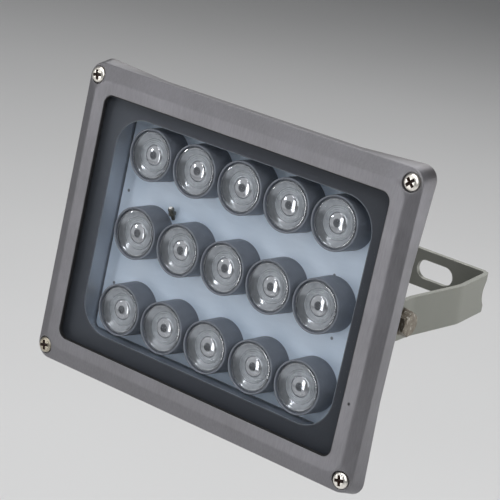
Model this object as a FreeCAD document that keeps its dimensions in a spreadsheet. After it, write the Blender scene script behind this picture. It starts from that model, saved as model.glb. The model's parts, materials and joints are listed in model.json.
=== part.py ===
"""Infrared illuminator: fifteen lensed lamps behind glass in a finned die-cast head.

The head tilts on two side bolts in a folded strap bracket. Millimetres.
The origin is the middle of the bracket's wall face. +X is the viewer's right,
-Y is the way the lamps shine and +Z is up. Inside the head, "forward" is measured
from the tilt axis along the lamps' beam, "up" square to it.
"""

import FreeCAD, Part
import math
import os
import Sketcher

BRACKET_SIZES = {
    "pivot_to_wall": 65,
    "strap_width": 18,
    "strap_thickness": 2,
    "arm_outer_at_bolt": 77.2,
    "arm_outer_at_flare": 82.4,
    "arm_outer_at_wall": 80.7,
    "bolt_to_bend": 8,
    "bolt_to_flare": 39,
    "flare_radius": 16,
    "corner_inner_radius": 2.6,
    "slot_length": 19,
    "slot_width": 9,
    "slot_spacing": 106.6,
    "gusset_radius": 12,
    "gusset_depth": 3.6,
    "gusset_tool_length": 60,
    "head_tilt": 8,
}

BOLT_SIZES = {
    "bolt_diameter": 6,
    "bolt_length": 14,
    "bolt_head_flats": 10,
    "bolt_head_height": 4,
    "bolt_washer_thickness": 1.3,
    "bolt_washer_diameter": 12,
    "turning_clearance": 0.1,
    "fixed_clearance": 0.05,
}

BEZEL_SIZES = {
    "pivot_to_lip": 32.3,
    "bezel_width": 180,
    "bezel_height": 140,
    "bezel_depth": 10.1,
    "bezel_corner_radius": 7,
    "wall_draft": 0.5,
    "corner_flare_x": 2,
    "corner_flare_up": 2.5,
    "flare_start_x": 53,
    "flare_start_up": 29,
    "crease_width": 168.6,
    "crease_height": 126.2,
    "crease_radius": 8,
    "crease_round": 4,
    "shoulder_drop": 2.1,
    "shoulder_round": 0.5,
    "lip_thickness": 1.4,
    "opening_width": 155.8,
    "opening_height": 115,
    "opening_radius": 4.5,
    "relief_depth": 6.2,
    "relief_width": 3,
    "bezel_screw_spacing_x": 169.8,
    "bezel_screw_spacing_z": 128.4,
    "bezel_screw_diameter": 3.5,
    "bezel_screw_length": 10.5,
    "screw_head_diameter": 7.3,
    "screw_head_height": 2.4,
    "counterbore_diameter": 8.3,
    "cross_width": 1.1,
    "cross_length": 4.3,
    "cross_depth": 1.5,
}

GLASS_SIZES = {
    "glass_width": 163.2,
    "glass_height": 121.8,
    "glass_radius": 5,
    "glass_thickness": 3,
    "glass_clearance": 0.5,
    "border_thickness": 0.15,
    "border_inset": 0.3,
    "window_width": 140.6,
    "window_height": 100.4,
    "window_radius": 15,
    "front_seal_thickness": 0.5,
    "seal_upstand_thickness": 0.4,
    "seal_upstand_setback": 0.35,
    "rear_seal_thickness": 0.75,
}

LAMP_SIZES = {
    "lamp_columns": 5,
    "lamp_rows": 3,
    "lamp_pitch_x": 25.4,
    "lamp_pitch_z": 36.3,
    "holder_setback": 0.1,
    "holder_diameter": 24.4,
    "holder_height": 12.7,
    "holder_draft": 0.3,
    "holder_base": 1.5,
    "lens_diameter": 21.2,
    "lens_setback": 0.3,
    "lens_flange": 1.6,
    "lens_clearance": 0.4,
    "lens_neck_diameter": 19,
    "lens_foot_diameter": 8.4,
    "lens_foot_gap": 0.2,
    "lens_dish_diameter": 7.6,
    "lens_dish_depth": 2.6,
    "lens_pocket_diameter": 5.6,
    "lens_pocket_depth": 4,
    "emitter_diameter": 4.6,
    "emitter_base": 0.9,
    "emitter_dome": 1.5,
}

BOARD_SIZES = {
    "board_width": 144.4,
    "board_height": 104.4,
    "board_radius": 3,
    "board_thickness": 1.6,
    "board_screw_spacing_x": 134,
    "board_screw_spacing_z": 74,
    "small_screw_diameter": 2.5,
    "small_screw_head": 4.4,
    "small_screw_head_height": 1.6,
    "small_screw_length": 4.5,
    "sensor_x": -43,
    "sensor_up": 14.4,
    "sensor_lean": 12,
    "sensor_diameter": 5,
    "sensor_flange_diameter": 5.8,
    "sensor_flange_thickness": 1,
    "sensor_standoff": 1.6,
    "sensor_length": 7.9,
    "sensor_lead_diameter": 0.5,
    "sensor_lead_spacing": 2.54,
    "lead_hole_diameter": 6,
    "lead_hole_x": 36.2,
    "lead_diameter": 1.6,
    "lead_spacing": 3.2,
    "lead_bend_radius": 2,
    "lead_loop": 4,
    "lead_start_x": 30,
}

HOUSING_SIZES = {
    "flange_inset": 2.8,
    "flange_thickness": 3.2,
    "ledge_width": 163.6,
    "ledge_height": 122.2,
    "ledge_radius": 5,
    "bowl_width": 151.2,
    "bowl_height": 112.4,
    "bowl_radius": 6,
    "bowl_edge_round": 4,
    "cavity_width": 146,
    "cavity_height": 106,
    "cavity_radius": 4,
    "floor_thickness": 4,
    "fin_count": 14,
    "fin_pitch": 8,
    "fin_thickness": 2.2,
    "fin_root_height": 110,
    "fin_tip_height": 98,
    "fin_tip_back": 20,
    "side_fin_count": 2,
    "side_fin_tip_back": 5.5,
    "fin_round": 7,
    "pivot_boss_radius": 8,
    "pivot_boss_length": 15,
}

DRIVER_SIZES = {
    "box_width": 88,
    "box_height": 56,
    "box_radius": 5,
    "box_wall": 3,
    "box_back": 23.5,
    "cover_gasket_thickness": 0.8,
    "cover_thickness": 2.2,
    "cover_round": 1,
    "cover_screw_spacing_x": 74,
    "cover_screw_spacing_z": 42,
    "cover_screw_diameter": 3,
    "cover_screw_head": 5.6,
    "cover_screw_length": 9,
    "post_radius": 3.4,
    "driver_board_width": 64,
    "driver_board_height": 40,
    "driver_board_forward": 1,
    "driver_post_spacing_x": 56,
    "driver_post_spacing_z": 32,
    "driver_post_radius": 2.6,
    "capacitor_diameter": 10,
    "capacitor_height": 13,
    "capacitor_x": -19,
    "capacitor_pitch": 12,
    "coil_outer_diameter": 14,
    "coil_height": 6.5,
    "coil_x": 0,
    "coil_up": -5,
    "chip_length": 6,
    "chip_width": 5,
    "chip_height": 1.8,
    "chip_gap": 10,
    "chip_up": 12.5,
    "terminal_width": 10.2,
    "terminal_depth": 8,
    "terminal_height": 10,
    "terminal_x": 20,
}

GLAND_SIZES = {
    "gland_back": 9,
    "gland_thread_diameter": 12,
    "gland_thread_inside": 7,
    "gland_bore": 7.2,
    "gland_flats": 16,
    "gland_flange_thickness": 4.5,
    "gland_sleeve_diameter": 12.4,
    "gland_sleeve_length": 9,
    "gland_seal_bore": 6,
    "gland_seal_wall": 1.9,
    "gland_nut_gap": 0.6,
    "gland_nut_length": 14,
    "gland_nut_mouth": 7.6,
    "locknut_thickness": 3,
    "locknut_flats": 15,
    "gland_channel_width": 21.6,
}

doc = FreeCAD.newDocument("infrared_illuminator")
sheet = doc.addObject("Spreadsheet::Sheet", "Sizes")


def fill_sheet(*groups):
    """Writes each named size into its own aliased cell."""
    row = 0
    for group in groups:
        for name, size in group.items():
            row += 1
            sheet.set(f"A{row}", name.replace("_", " "))
            sheet.set(f"B{row}", str(size))
            sheet.setAlias(f"B{row}", name)
    doc.recompute()


fill_sheet(
    BRACKET_SIZES, BOLT_SIZES, BEZEL_SIZES, GLASS_SIZES, LAMP_SIZES,
    BOARD_SIZES, HOUSING_SIZES, DRIVER_SIZES, GLAND_SIZES,
)

# Stations along the beam, as distances forward of the tilt axis
LIP = "Sizes.pivot_to_lip"
LIP_BACK = f"({LIP} - Sizes.lip_thickness)"
SHOULDER = f"({LIP} - Sizes.shoulder_drop)"
BEZEL_BACK = f"({LIP} - Sizes.bezel_depth)"
GLASS_FRONT = f"({LIP_BACK} - Sizes.front_seal_thickness)"
GLASS_BACK = f"({GLASS_FRONT} - Sizes.glass_thickness)"
BORDER_BACK = f"({GLASS_BACK} - Sizes.border_thickness)"
LEDGE = f"({BORDER_BACK} - Sizes.rear_seal_thickness)"
HOLDER_RIM = f"({LEDGE} - Sizes.holder_setback)"
BOARD_FRONT = f"({HOLDER_RIM} - Sizes.holder_height)"
FLOOR_FRONT = f"({BOARD_FRONT} - Sizes.board_thickness)"
FLOOR_BACK = f"({FLOOR_FRONT} - Sizes.floor_thickness)"
FLANGE_BACK = f"({BEZEL_BACK} - Sizes.flange_thickness)"
BOX_BACK = "(-Sizes.box_back)"
COVER_FRONT = f"({BOX_BACK} - Sizes.cover_gasket_thickness)"
COVER_BACK = f"({COVER_FRONT} - Sizes.cover_thickness)"
SCREW_SEAT = f"({LIP} - Sizes.screw_head_height)"
DRIVER_FRONT = "Sizes.driver_board_forward"
DRIVER_BACK = f"({DRIVER_FRONT} - Sizes.board_thickness)"

# Half sizes and offsets that several pieces share
ARM_INNER = "(Sizes.arm_outer_at_bolt - Sizes.strap_thickness)"
SCREW_X = "Sizes.bezel_screw_spacing_x / 2"
SCREW_UP = "Sizes.bezel_screw_spacing_z / 2"
BOARD_SCREW_X = "Sizes.board_screw_spacing_x / 2"
BOARD_SCREW_UP = "Sizes.board_screw_spacing_z / 2"
COVER_SCREW_X = "Sizes.cover_screw_spacing_x / 2"
COVER_SCREW_UP = "Sizes.cover_screw_spacing_z / 2"
POST_X = "Sizes.driver_post_spacing_x / 2"
POST_UP = "Sizes.driver_post_spacing_z / 2"
BOX_FLOOR_UP = "(-Sizes.box_height / 2)"
BIG = "400"

parts = []


def number(text):
    """The value of an expression on the sheet."""
    return float(sheet.evalExpression(text))


def origin_feature(body, role):
    return next(item for item in body.Origin.OriginFeatures if item.Role == role)


def new_body(name):
    return doc.addObject("PartDesign::Body", name)


def finish(piece, name):
    """Lists a finished piece under the name that its file takes."""
    piece.Label = name
    parts.append(piece)
    return piece


def seat_on_head(piece, x="0", forward="0", up="0", lean="0"):
    """Places a piece of the head, which is tilted about the pivot bolts."""
    tilt = f"(Sizes.head_tilt + {lean})"
    piece.Placement = FreeCAD.Placement(
        FreeCAD.Vector(), FreeCAD.Rotation(FreeCAD.Vector(-1, 0, 0), number(tilt)))
    piece.setExpression(".Placement.Base.x", x)
    piece.setExpression(
        ".Placement.Base.y",
        f"-Sizes.pivot_to_wall - ({forward}) * cos(Sizes.head_tilt) + ({up}) * sin(Sizes.head_tilt)")
    piece.setExpression(
        ".Placement.Base.z",
        f"({forward}) * sin(Sizes.head_tilt) + ({up}) * cos(Sizes.head_tilt)")
    piece.setExpression(".Placement.Rotation.Angle", tilt)


def new_sketch(body, name, role, offset="0", shift=("0", "0")):
    """A sketch on one of the body's own planes. XZ faces forward, YZ right, XY up."""
    sketch = body.newObject("Sketcher::SketchObject", name)
    sketch.AttachmentSupport = [(origin_feature(body, role), "")]
    sketch.MapMode = "FlatFace"
    sketch.setExpression(".AttachmentOffset.Base.x", shift[0])
    sketch.setExpression(".AttachmentOffset.Base.y", shift[1])
    sketch.setExpression(".AttachmentOffset.Base.z", offset)
    return sketch


def pin_point(rules, geometry, point, x, y):
    """Holds a point at two expressions, or on an axis where one of them is zero."""
    for kind, text, axis in (("DistanceX", x, -2), ("DistanceY", y, -1)):
        distance = number(text)
        if distance == 0:
            rules.append((Sketcher.Constraint("PointOnObject", geometry, point, axis), None))
        else:
            rules.append((Sketcher.Constraint(kind, -1, 1, geometry, point, distance), text))


def pin_radius(rules, geometry, radius):
    rules.append((Sketcher.Constraint("Radius", geometry, number(radius)), radius))


def settle(sketch, rules):
    """Adds the constraints together, then binds the measured ones to the sheet."""
    indices = sketch.addConstraint([rule for rule, text in rules])
    for index, (rule, text) in zip(indices, rules):
        if text is not None:
            sketch.setExpression(f"Constraints[{index}]", text)


def corner_arc(here, back, ahead, radius):
    """The tangent arc in a corner, its two ends, and which end the outline meets first."""
    half = back.getAngle(ahead) / 2
    reach = radius / math.tan(half)
    centre = here + (back + ahead).normalize() * (radius / math.sin(half))
    first = here + back * reach
    last = here + ahead * reach
    angles = [math.atan2((end - centre).y, (end - centre).x) for end in (first, last)]
    turned_left = back.cross(ahead).z < 0
    if not turned_left:
        angles.reverse()
    if angles[1] < angles[0]:
        angles[1] += 2 * math.pi
    circle = Part.Circle(centre, FreeCAD.Vector(0, 0, 1), radius)
    return first, last, Part.ArcOfCircle(circle, *angles), 1 if turned_left else 2


def draw_outline(sketch, corners, closed=True):
    """A chain of lines. A corner is (x, y), or (x, y, radius) where it is rounded."""
    spots = [FreeCAD.Vector(number(c[0]), number(c[1]), 0) for c in corners]
    count = len(corners)
    bends = []
    for index, corner in enumerate(corners):
        here = spots[index]
        bend = (here, here, None, None)
        if len(corner) == 3:
            back = (spots[index - 1] - here).normalize()
            ahead = (spots[(index + 1) % count] - here).normalize()
            bend = corner_arc(here, back, ahead, number(corner[2]))
        bends.append(bend)
    lines = []
    for index in range(count if closed else count - 1):
        lines.append(sketch.addGeometry(
            Part.LineSegment(bends[index][1], bends[(index + 1) % count][0])))
    rules = []
    for index, corner in enumerate(corners):
        if not closed and index in (0, count - 1):
            line, end = (lines[0], 1) if index == 0 else (lines[-1], 2)
            pin_point(rules, line, end, corner[0], corner[1])
            continue
        before = lines[index - 1]
        after = lines[index]
        drawn, first_end = bends[index][2:]
        if drawn is None:
            rules.append((Sketcher.Constraint("Coincident", before, 2, after, 1), None))
            pin_point(rules, after, 1, corner[0], corner[1])
            continue
        arc = sketch.addGeometry(drawn)
        spot = sketch.addGeometry(Part.Point(spots[index]), True)
        rules += [
            (Sketcher.Constraint("Tangent", before, 2, arc, first_end), None),
            (Sketcher.Constraint("Tangent", arc, 3 - first_end, after, 1), None),
            (Sketcher.Constraint("PointOnObject", spot, 1, before), None),
            (Sketcher.Constraint("PointOnObject", spot, 1, after), None),
        ]
        pin_point(rules, spot, 1, corner[0], corner[1])
        pin_radius(rules, arc, corner[2])
    settle(sketch, rules)


def draw_rectangle(sketch, width, height, radius, x="0", y="0"):
    """A rectangle about a centre, with rounded corners."""
    half_width = f"({width}) / 2"
    half_height = f"({height}) / 2"
    draw_outline(sketch, [
        (f"{x} - {half_width}", f"{y} - {half_height}", radius),
        (f"{x} + {half_width}", f"{y} - {half_height}", radius),
        (f"{x} + {half_width}", f"{y} + {half_height}", radius),
        (f"{x} - {half_width}", f"{y} + {half_height}", radius),
    ])


def draw_circle(sketch, radius, x="0", y="0"):
    centre = FreeCAD.Vector(number(x), number(y), 0)
    circle = sketch.addGeometry(
        Part.Circle(centre, FreeCAD.Vector(0, 0, 1), number(radius)))
    rules = []
    pin_point(rules, circle, 3, x, y)
    pin_radius(rules, circle, radius)
    settle(sketch, rules)


def draw_circles(sketch, radius, x, y):
    """Four circles, mirrored about both axes."""
    for side_x in ("", "-"):
        for side_y in ("", "-"):
            draw_circle(sketch, radius, f"{side_x}({x})", f"{side_y}({y})")


def draw_hexagon(sketch, flats, x="0", y="0"):
    """A hexagon with two corners on the sketch's vertical axis."""
    corners = []
    for turn in range(6):
        angle = 60 * turn + 30
        corners.append((
            f"{x} + {flats} / sqrt(3) * cos({angle})",
            f"{y} + {flats} / sqrt(3) * sin({angle})"))
    draw_outline(sketch, corners)


def draw_slot(sketch, length, width, x, y="0"):
    """A round-ended slot along the sketch's first axis."""
    radius = f"({width}) / 2"
    reach = f"(({length}) - ({width})) / 2"
    size = number(radius)
    left = FreeCAD.Vector(number(f"{x} - {reach}"), number(y), 0)
    right = FreeCAD.Vector(number(f"{x} + {reach}"), number(y), 0)
    rise = FreeCAD.Vector(0, size, 0)
    axis = FreeCAD.Vector(0, 0, 1)
    low = sketch.addGeometry(Part.LineSegment(left - rise, right - rise))
    high = sketch.addGeometry(Part.LineSegment(right + rise, left + rise))
    quarter = math.pi / 2
    right_end = sketch.addGeometry(
        Part.ArcOfCircle(Part.Circle(right, axis, size), -quarter, quarter))
    left_end = sketch.addGeometry(
        Part.ArcOfCircle(Part.Circle(left, axis, size), quarter, 3 * quarter))
    rules = []
    for first, second in ((low, right_end), (right_end, high), (high, left_end), (left_end, low)):
        rules.append((Sketcher.Constraint("Tangent", first, 2, second, 1), None))
    pin_point(rules, right_end, 3, f"{x} + {reach}", y)
    pin_point(rules, left_end, 3, f"{x} - {reach}", y)
    pin_radius(rules, right_end, radius)
    settle(sketch, rules)


def extrude(body, sketch, length, kind="Pad", along_normal=True, both_ways=False):
    """Pads or pockets a sketch. A pocket's own first direction is against the normal."""
    feature = body.newObject(f"PartDesign::{kind}", f"{sketch.Name}_{kind.lower()}")
    feature.Profile = sketch
    feature.setExpression("Length", length)
    feature.Reversed = along_normal if kind == "Pocket" else not along_normal
    feature.Midplane = both_ways
    sketch.Visibility = False
    return feature


def pad(body, name, role, offset, length, draw, *sizes, **more):
    sketch = new_sketch(body, name, role, offset)
    draw(sketch, *sizes)
    return extrude(body, sketch, length, "Pad", **more)


def pocket(body, name, role, offset, length, draw, *sizes, **more):
    """A pocket that has to take material away."""
    doc.recompute()
    before = body.Shape.Volume
    sketch = new_sketch(body, name, role, offset)
    draw(sketch, *sizes)
    feature = extrude(body, sketch, length, "Pocket", **more)
    doc.recompute()
    if not feature.Shape.Volume < before:
        raise ValueError(f"{name} cuts nothing")
    return feature


def turn(body, name, profile, role="XY_Plane", offset="0", shift=("0", "0")):
    """Turns a profile of (radius, height) corners about its sketch's second axis."""
    sketch = new_sketch(body, name, role, offset, shift)
    draw_outline(sketch, profile)
    feature = body.newObject("PartDesign::Revolution", f"{name}_turned")
    feature.Profile = sketch
    feature.ReferenceAxis = (sketch, ["V_Axis"])
    feature.Angle = 360
    sketch.Visibility = False
    return feature


def round_edges(body, name, radius, test):
    """Rounds the edges of the body's last feature that pass a test."""
    doc.recompute()
    base = body.Tip
    names = []
    for index, edge in enumerate(base.Shape.Edges, 1):
        if test(edge):
            names.append(f"Edge{index}")
    if not names:
        raise ValueError(f"{name} finds no edge")
    feature = body.newObject("PartDesign::Fillet", name)
    feature.Base = (base, names)
    feature.setExpression("Radius", radius)
    return feature


def level(edge, axis, place):
    """True where an edge lies in a plane square to an axis."""
    box = edge.BoundBox
    low = getattr(box, axis + "Min")
    high = getattr(box, axis + "Max")
    return abs(low - place) < 1e-3 and abs(high - place) < 1e-3


def repeat(body, name, feature, *steps):
    """Repeats a feature by mirrors ("mirror", plane) and rows ("row", axis, gap, count)."""
    whole = body.newObject("PartDesign::MultiTransform", name)
    whole.Originals = list(feature) if isinstance(feature, tuple) else [feature]
    stages = []
    for index, step in enumerate(steps):
        if step[0] == "mirror":
            stage = body.newObject("PartDesign::Mirrored", f"{name}_mirror_{index}")
            stage.MirrorPlane = (origin_feature(body, step[1]), [""])
        else:
            stage = body.newObject("PartDesign::LinearPattern", f"{name}_row_{index}")
            stage.Direction = (origin_feature(body, step[1]), [""])
            stage.setExpression("Length", f"({step[2]}) * ({step[3]} - 1)")
            stage.setExpression("Occurrences", step[3])
        stages.append(stage)
    whole.Transformations = stages
    body.Tip = whole
    return whole


def mirror_four(body, name, feature):
    return repeat(body, name, feature, ("mirror", "YZ_Plane"), ("mirror", "XY_Plane"))


def gusset_tool(name, side, radius):
    """A round-nosed tool that lies across the strap's corner. Side is "-" on the left."""
    tool = doc.addObject("Part::Cylinder", name)
    tool.setExpression("Radius", radius)
    tool.setExpression("Height", "Sizes.gusset_tool_length")
    across = 1 if side == "" else -1
    tool.Placement = FreeCAD.Placement(
        FreeCAD.Vector(), FreeCAD.Rotation(FreeCAD.Vector(0, 0, 1), FreeCAD.Vector(across, -1, 0)))
    reach = "(Sizes.gusset_radius - Sizes.gusset_depth) / sqrt(2)"
    start = "Sizes.gusset_tool_length / sqrt(8)"
    tool.setExpression(".Placement.Base.x", f"{side}(Sizes.arm_outer_at_wall + {reach} - {start})")
    tool.setExpression(".Placement.Base.y", f"{reach} + {start}")
    return tool


def press_gusset(strap, side):
    """Presses one corner in: a bulge on the inside, a round hollow on the outside."""
    label = "right" if side == "" else "left"
    zone = doc.addObject("Part::Box", f"{label}_gusset_zone")
    for size in ("Length", "Width"):
        zone.setExpression(size, "Sizes.gusset_tool_length / 3")
    zone.setExpression("Height", "Sizes.strap_width")
    edge = "(Sizes.arm_outer_at_wall - Sizes.strap_thickness / 2)"
    start = f"{edge} - Sizes.gusset_tool_length / 3" if side == "" else f"-{edge}"
    zone.setExpression(".Placement.Base.x", start)
    zone.setExpression(
        ".Placement.Base.y", "-Sizes.strap_thickness / 2 - Sizes.gusset_tool_length / 3")
    zone.setExpression(".Placement.Base.z", "-Sizes.strap_width / 2")
    bulge = doc.addObject("Part::Common", f"{label}_gusset_bulge")
    bulge.Base = zone
    bulge.Tool = gusset_tool(
        f"{label}_gusset_outside", side, "Sizes.gusset_radius + Sizes.strap_thickness")
    joined = doc.addObject("Part::Fuse", f"{label}_gusset_joined")
    joined.Base = strap
    joined.Tool = bulge
    pressed = doc.addObject("Part::Cut", f"{label}_gusset")
    pressed.Base = joined
    pressed.Tool = gusset_tool(f"{label}_gusset_hollow", side, "Sizes.gusset_radius")
    return pressed


def make_bracket():
    """The folded strap: slotted base on the wall, two flared arms, pressed corner gussets."""
    body = new_body("strap")
    thickness = "Sizes.strap_thickness"
    pivot = "(-Sizes.pivot_to_wall)"
    arm_end = f"({pivot} - Sizes.strap_width / 2)"
    bend = f"({pivot} + Sizes.bolt_to_bend)"
    flare = f"({pivot} + Sizes.bolt_to_flare)"
    corner_outer = f"(Sizes.corner_inner_radius + {thickness})"
    outer = [
        ("Sizes.arm_outer_at_wall", "0", corner_outer),
        ("Sizes.arm_outer_at_flare", flare, "Sizes.flare_radius"),
        ("Sizes.arm_outer_at_bolt", bend, f"(Sizes.flare_radius + {thickness})"),
        ("Sizes.arm_outer_at_bolt", arm_end),
    ]
    inner = [
        (f"(Sizes.arm_outer_at_bolt - {thickness})", arm_end),
        (f"(Sizes.arm_outer_at_bolt - {thickness})", bend, "Sizes.flare_radius"),
        (f"(Sizes.arm_outer_at_flare - {thickness})", flare, f"(Sizes.flare_radius + {thickness})"),
        (f"(Sizes.arm_outer_at_wall - {thickness})", f"(-{thickness})", "Sizes.corner_inner_radius"),
    ]
    right = outer + inner
    left = [(f"(-{corner[0]})",) + corner[1:] for corner in reversed(right)]
    pad(body, "strap_edge", "XY_Plane", "0", "Sizes.strap_width",
        draw_outline, right + left, both_ways=True)

    def is_arm_end(edge):
        flat = abs(edge.BoundBox.ZMax - edge.BoundBox.ZMin) < 1e-3
        return flat and level(edge, "Y", number(arm_end))

    round_edges(body, "arm_ends", "Sizes.strap_width / 2 - 0.01", is_arm_end)

    def draw_slots(sketch):
        for side in ("", "-"):
            draw_slot(sketch, "Sizes.slot_length", "Sizes.slot_width",
                      f"{side}(Sizes.slot_spacing / 2)")

    pocket(body, "wall_slots", "XZ_Plane", "-1", f"{thickness} + 2", draw_slots)
    pocket(body, "bolt_holes", "YZ_Plane", "0", BIG, draw_circle,
           "Sizes.bolt_diameter / 2 + Sizes.turning_clearance", pivot, "0", both_ways=True)

    whole = body
    for side in ("", "-"):
        whole = press_gusset(whole, side)
    finish(whole, "mounting_bracket")


def make_pivot_bolts():
    """Two hexagon bolts that the head tilts on."""
    body = new_body("bolts")
    under_head = "(Sizes.arm_outer_at_bolt + Sizes.bolt_washer_thickness)"
    head = pad(body, "bolt_head", "YZ_Plane", under_head, "Sizes.bolt_head_height",
               draw_hexagon, "Sizes.bolt_head_flats")
    repeat(body, "bolt_heads", head, ("mirror", "YZ_Plane"))
    shank = pad(body, "bolt_shank", "YZ_Plane", under_head, "Sizes.bolt_length",
                draw_circle, "Sizes.bolt_diameter / 2", along_normal=False)
    repeat(body, "bolt_shanks", shank, ("mirror", "YZ_Plane"))
    seat_on_head(body)
    finish(body, "pivot_bolts")

    washer = new_body("washers")

    def draw_washer(sketch):
        draw_circle(sketch, "Sizes.bolt_washer_diameter / 2")
        draw_circle(sketch, "Sizes.bolt_diameter / 2 + Sizes.turning_clearance")

    one = pad(washer, "washer", "YZ_Plane", "Sizes.arm_outer_at_bolt",
              "Sizes.bolt_washer_thickness", draw_washer)
    repeat(washer, "washer_pair", one, ("mirror", "YZ_Plane"))
    seat_on_head(washer)
    finish(washer, "pivot_washers")


def draw_flared(sketch, inset, flare_x="Sizes.corner_flare_x", flare_up="Sizes.corner_flare_up"):
    """The bezel's outline, less an inset, with corners that flare out past its straight sides."""
    side = f"(Sizes.bezel_width / 2 - {inset})"
    top = f"(Sizes.bezel_height / 2 - {inset})"
    corner = (f"({side} + {flare_x})", f"({top} + {flare_up})",
              f"Sizes.bezel_corner_radius - {inset}")
    start_x, start_up = "Sizes.flare_start_x", "Sizes.flare_start_up"
    quarter = [corner, (start_x, top), (f"-{start_x}", top)]
    half = quarter + [(f"-{corner[0]}",) + corner[1:], (f"-{side}", start_up), (f"-{side}", f"-{start_up}")]
    turned = []
    for spot in half:
        turned.append((f"-({spot[0]})", f"-({spot[1]})") + spot[2:])
    draw_outline(sketch, half + turned)


def loft(body, name, first, second):
    """Joins two sketches with straight walls."""
    feature = body.newObject("PartDesign::AdditiveLoft", name)
    feature.Profile = first
    feature.Sections = [second]
    feature.Ruled = True


def make_bezel():
    """The front frame: flat lip, sloped shoulder, side wall and counterbored screw seats."""
    body = new_body("bezel")
    back = new_sketch(body, "wall_back", "XZ_Plane", BEZEL_BACK)
    draw_flared(back, "Sizes.wall_draft")
    front = new_sketch(body, "wall_front", "XZ_Plane", SHOULDER)
    draw_flared(front, "0", "0", "0")
    loft(body, "side_wall", back, front)
    low = new_sketch(body, "shoulder_outer", "XZ_Plane", SHOULDER)
    draw_rectangle(low, "Sizes.bezel_width", "Sizes.bezel_height", "Sizes.bezel_corner_radius")
    high = new_sketch(body, "shoulder_inner", "XZ_Plane", LIP)
    draw_rectangle(high, "Sizes.crease_width", "Sizes.crease_height", "Sizes.crease_radius")
    loft(body, "shoulder", low, high)
    round_edges(body, "crease_soft", "Sizes.crease_round",
                lambda edge: level(edge, "Y", -number(LIP)))
    round_edges(body, "shoulder_soft", "Sizes.shoulder_round",
                lambda edge: level(edge, "Y", -number(SHOULDER)))
    pocket(body, "opening", "XZ_Plane", "0", BIG, draw_rectangle,
           "Sizes.opening_width", "Sizes.opening_height", "Sizes.opening_radius")
    pocket(body, "glass_seat", "XZ_Plane", "0", LIP_BACK, draw_rectangle,
           "Sizes.glass_width + 2 * Sizes.glass_clearance",
           "Sizes.glass_height + 2 * Sizes.glass_clearance",
           "Sizes.glass_radius + Sizes.glass_clearance")
    pocket(body, "screw_seats", "XZ_Plane", SCREW_SEAT, BIG, draw_circles,
           "Sizes.counterbore_diameter / 2", SCREW_X, SCREW_UP)
    pocket(body, "screw_holes", "XZ_Plane", "0", BIG, draw_circles,
           "Sizes.bezel_screw_diameter / 2 + 2 * Sizes.turning_clearance", SCREW_X, SCREW_UP)

    def draw_reliefs(sketch):
        """Four straight troughs that keep the casting's walls even."""
        for side in ("", "-"):
            draw_slot(sketch, "Sizes.bezel_screw_spacing_x - 3 * Sizes.screw_head_diameter",
                      "Sizes.relief_width", "0",
                      f"{side}((Sizes.bezel_height + Sizes.glass_height) / 4 + Sizes.glass_clearance / 2)")
        half = "(Sizes.bezel_screw_spacing_z / 2 - 1.5 * Sizes.screw_head_diameter)"
        for side in ("", "-"):
            middle = f"{side}((Sizes.bezel_width + Sizes.glass_width) / 4 + Sizes.glass_clearance / 2)"
            draw_rectangle(sketch, "Sizes.relief_width", f"2 * {half}", "Sizes.relief_width / 3",
                           middle)

    pocket(body, "wall_reliefs", "XZ_Plane", BEZEL_BACK, "Sizes.relief_depth", draw_reliefs)
    seat_on_head(body)
    finish(body, "front_bezel")


def draw_ring(sketch, outer, inner):
    """Two rounded rectangles, one inside the other."""
    draw_rectangle(sketch, *outer)
    draw_rectangle(sketch, *inner)


def make_glass_pack():
    """Front seal, glass, printed border and rear seal, as they stack behind the lip."""
    glass = ("Sizes.glass_width", "Sizes.glass_height", "Sizes.glass_radius")
    wall = "Sizes.seal_upstand_thickness"
    opening = ("Sizes.opening_width", "Sizes.opening_height", "Sizes.opening_radius")
    lining = (f"Sizes.opening_width - 2 * {wall}", f"Sizes.opening_height - 2 * {wall}",
              f"Sizes.opening_radius - {wall}")
    seal = new_body("seal_front")
    pad(seal, "seal_flat", "XZ_Plane", GLASS_FRONT, "Sizes.front_seal_thickness",
        draw_ring, glass, lining)
    pad(seal, "seal_upstand", "XZ_Plane", GLASS_FRONT,
        "Sizes.front_seal_thickness + Sizes.lip_thickness - Sizes.seal_upstand_setback",
        draw_ring, opening, lining)
    seat_on_head(seal)
    finish(seal, "front_seal")

    pane = new_body("pane")
    pad(pane, "pane_edge", "XZ_Plane", GLASS_BACK, "Sizes.glass_thickness",
        draw_rectangle, *glass)
    seat_on_head(pane)
    finish(pane, "window_glass")

    inset = "2 * Sizes.border_inset"
    print_edge = (f"Sizes.glass_width - {inset}", f"Sizes.glass_height - {inset}",
                  "Sizes.glass_radius - Sizes.border_inset")
    window = ("Sizes.window_width", "Sizes.window_height", "Sizes.window_radius")
    border = new_body("border")
    pad(border, "border_print", "XZ_Plane", BORDER_BACK, "Sizes.border_thickness",
        draw_ring, print_edge, window)
    seat_on_head(border)
    finish(border, "glass_border")

    cavity = ("Sizes.cavity_width", "Sizes.cavity_height", "Sizes.cavity_radius")
    rear = new_body("seal_rear")
    pad(rear, "seal_rear_flat", "XZ_Plane", LEDGE, "Sizes.rear_seal_thickness",
        draw_ring, print_edge, cavity)
    seat_on_head(rear)
    finish(rear, "rear_seal")


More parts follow.
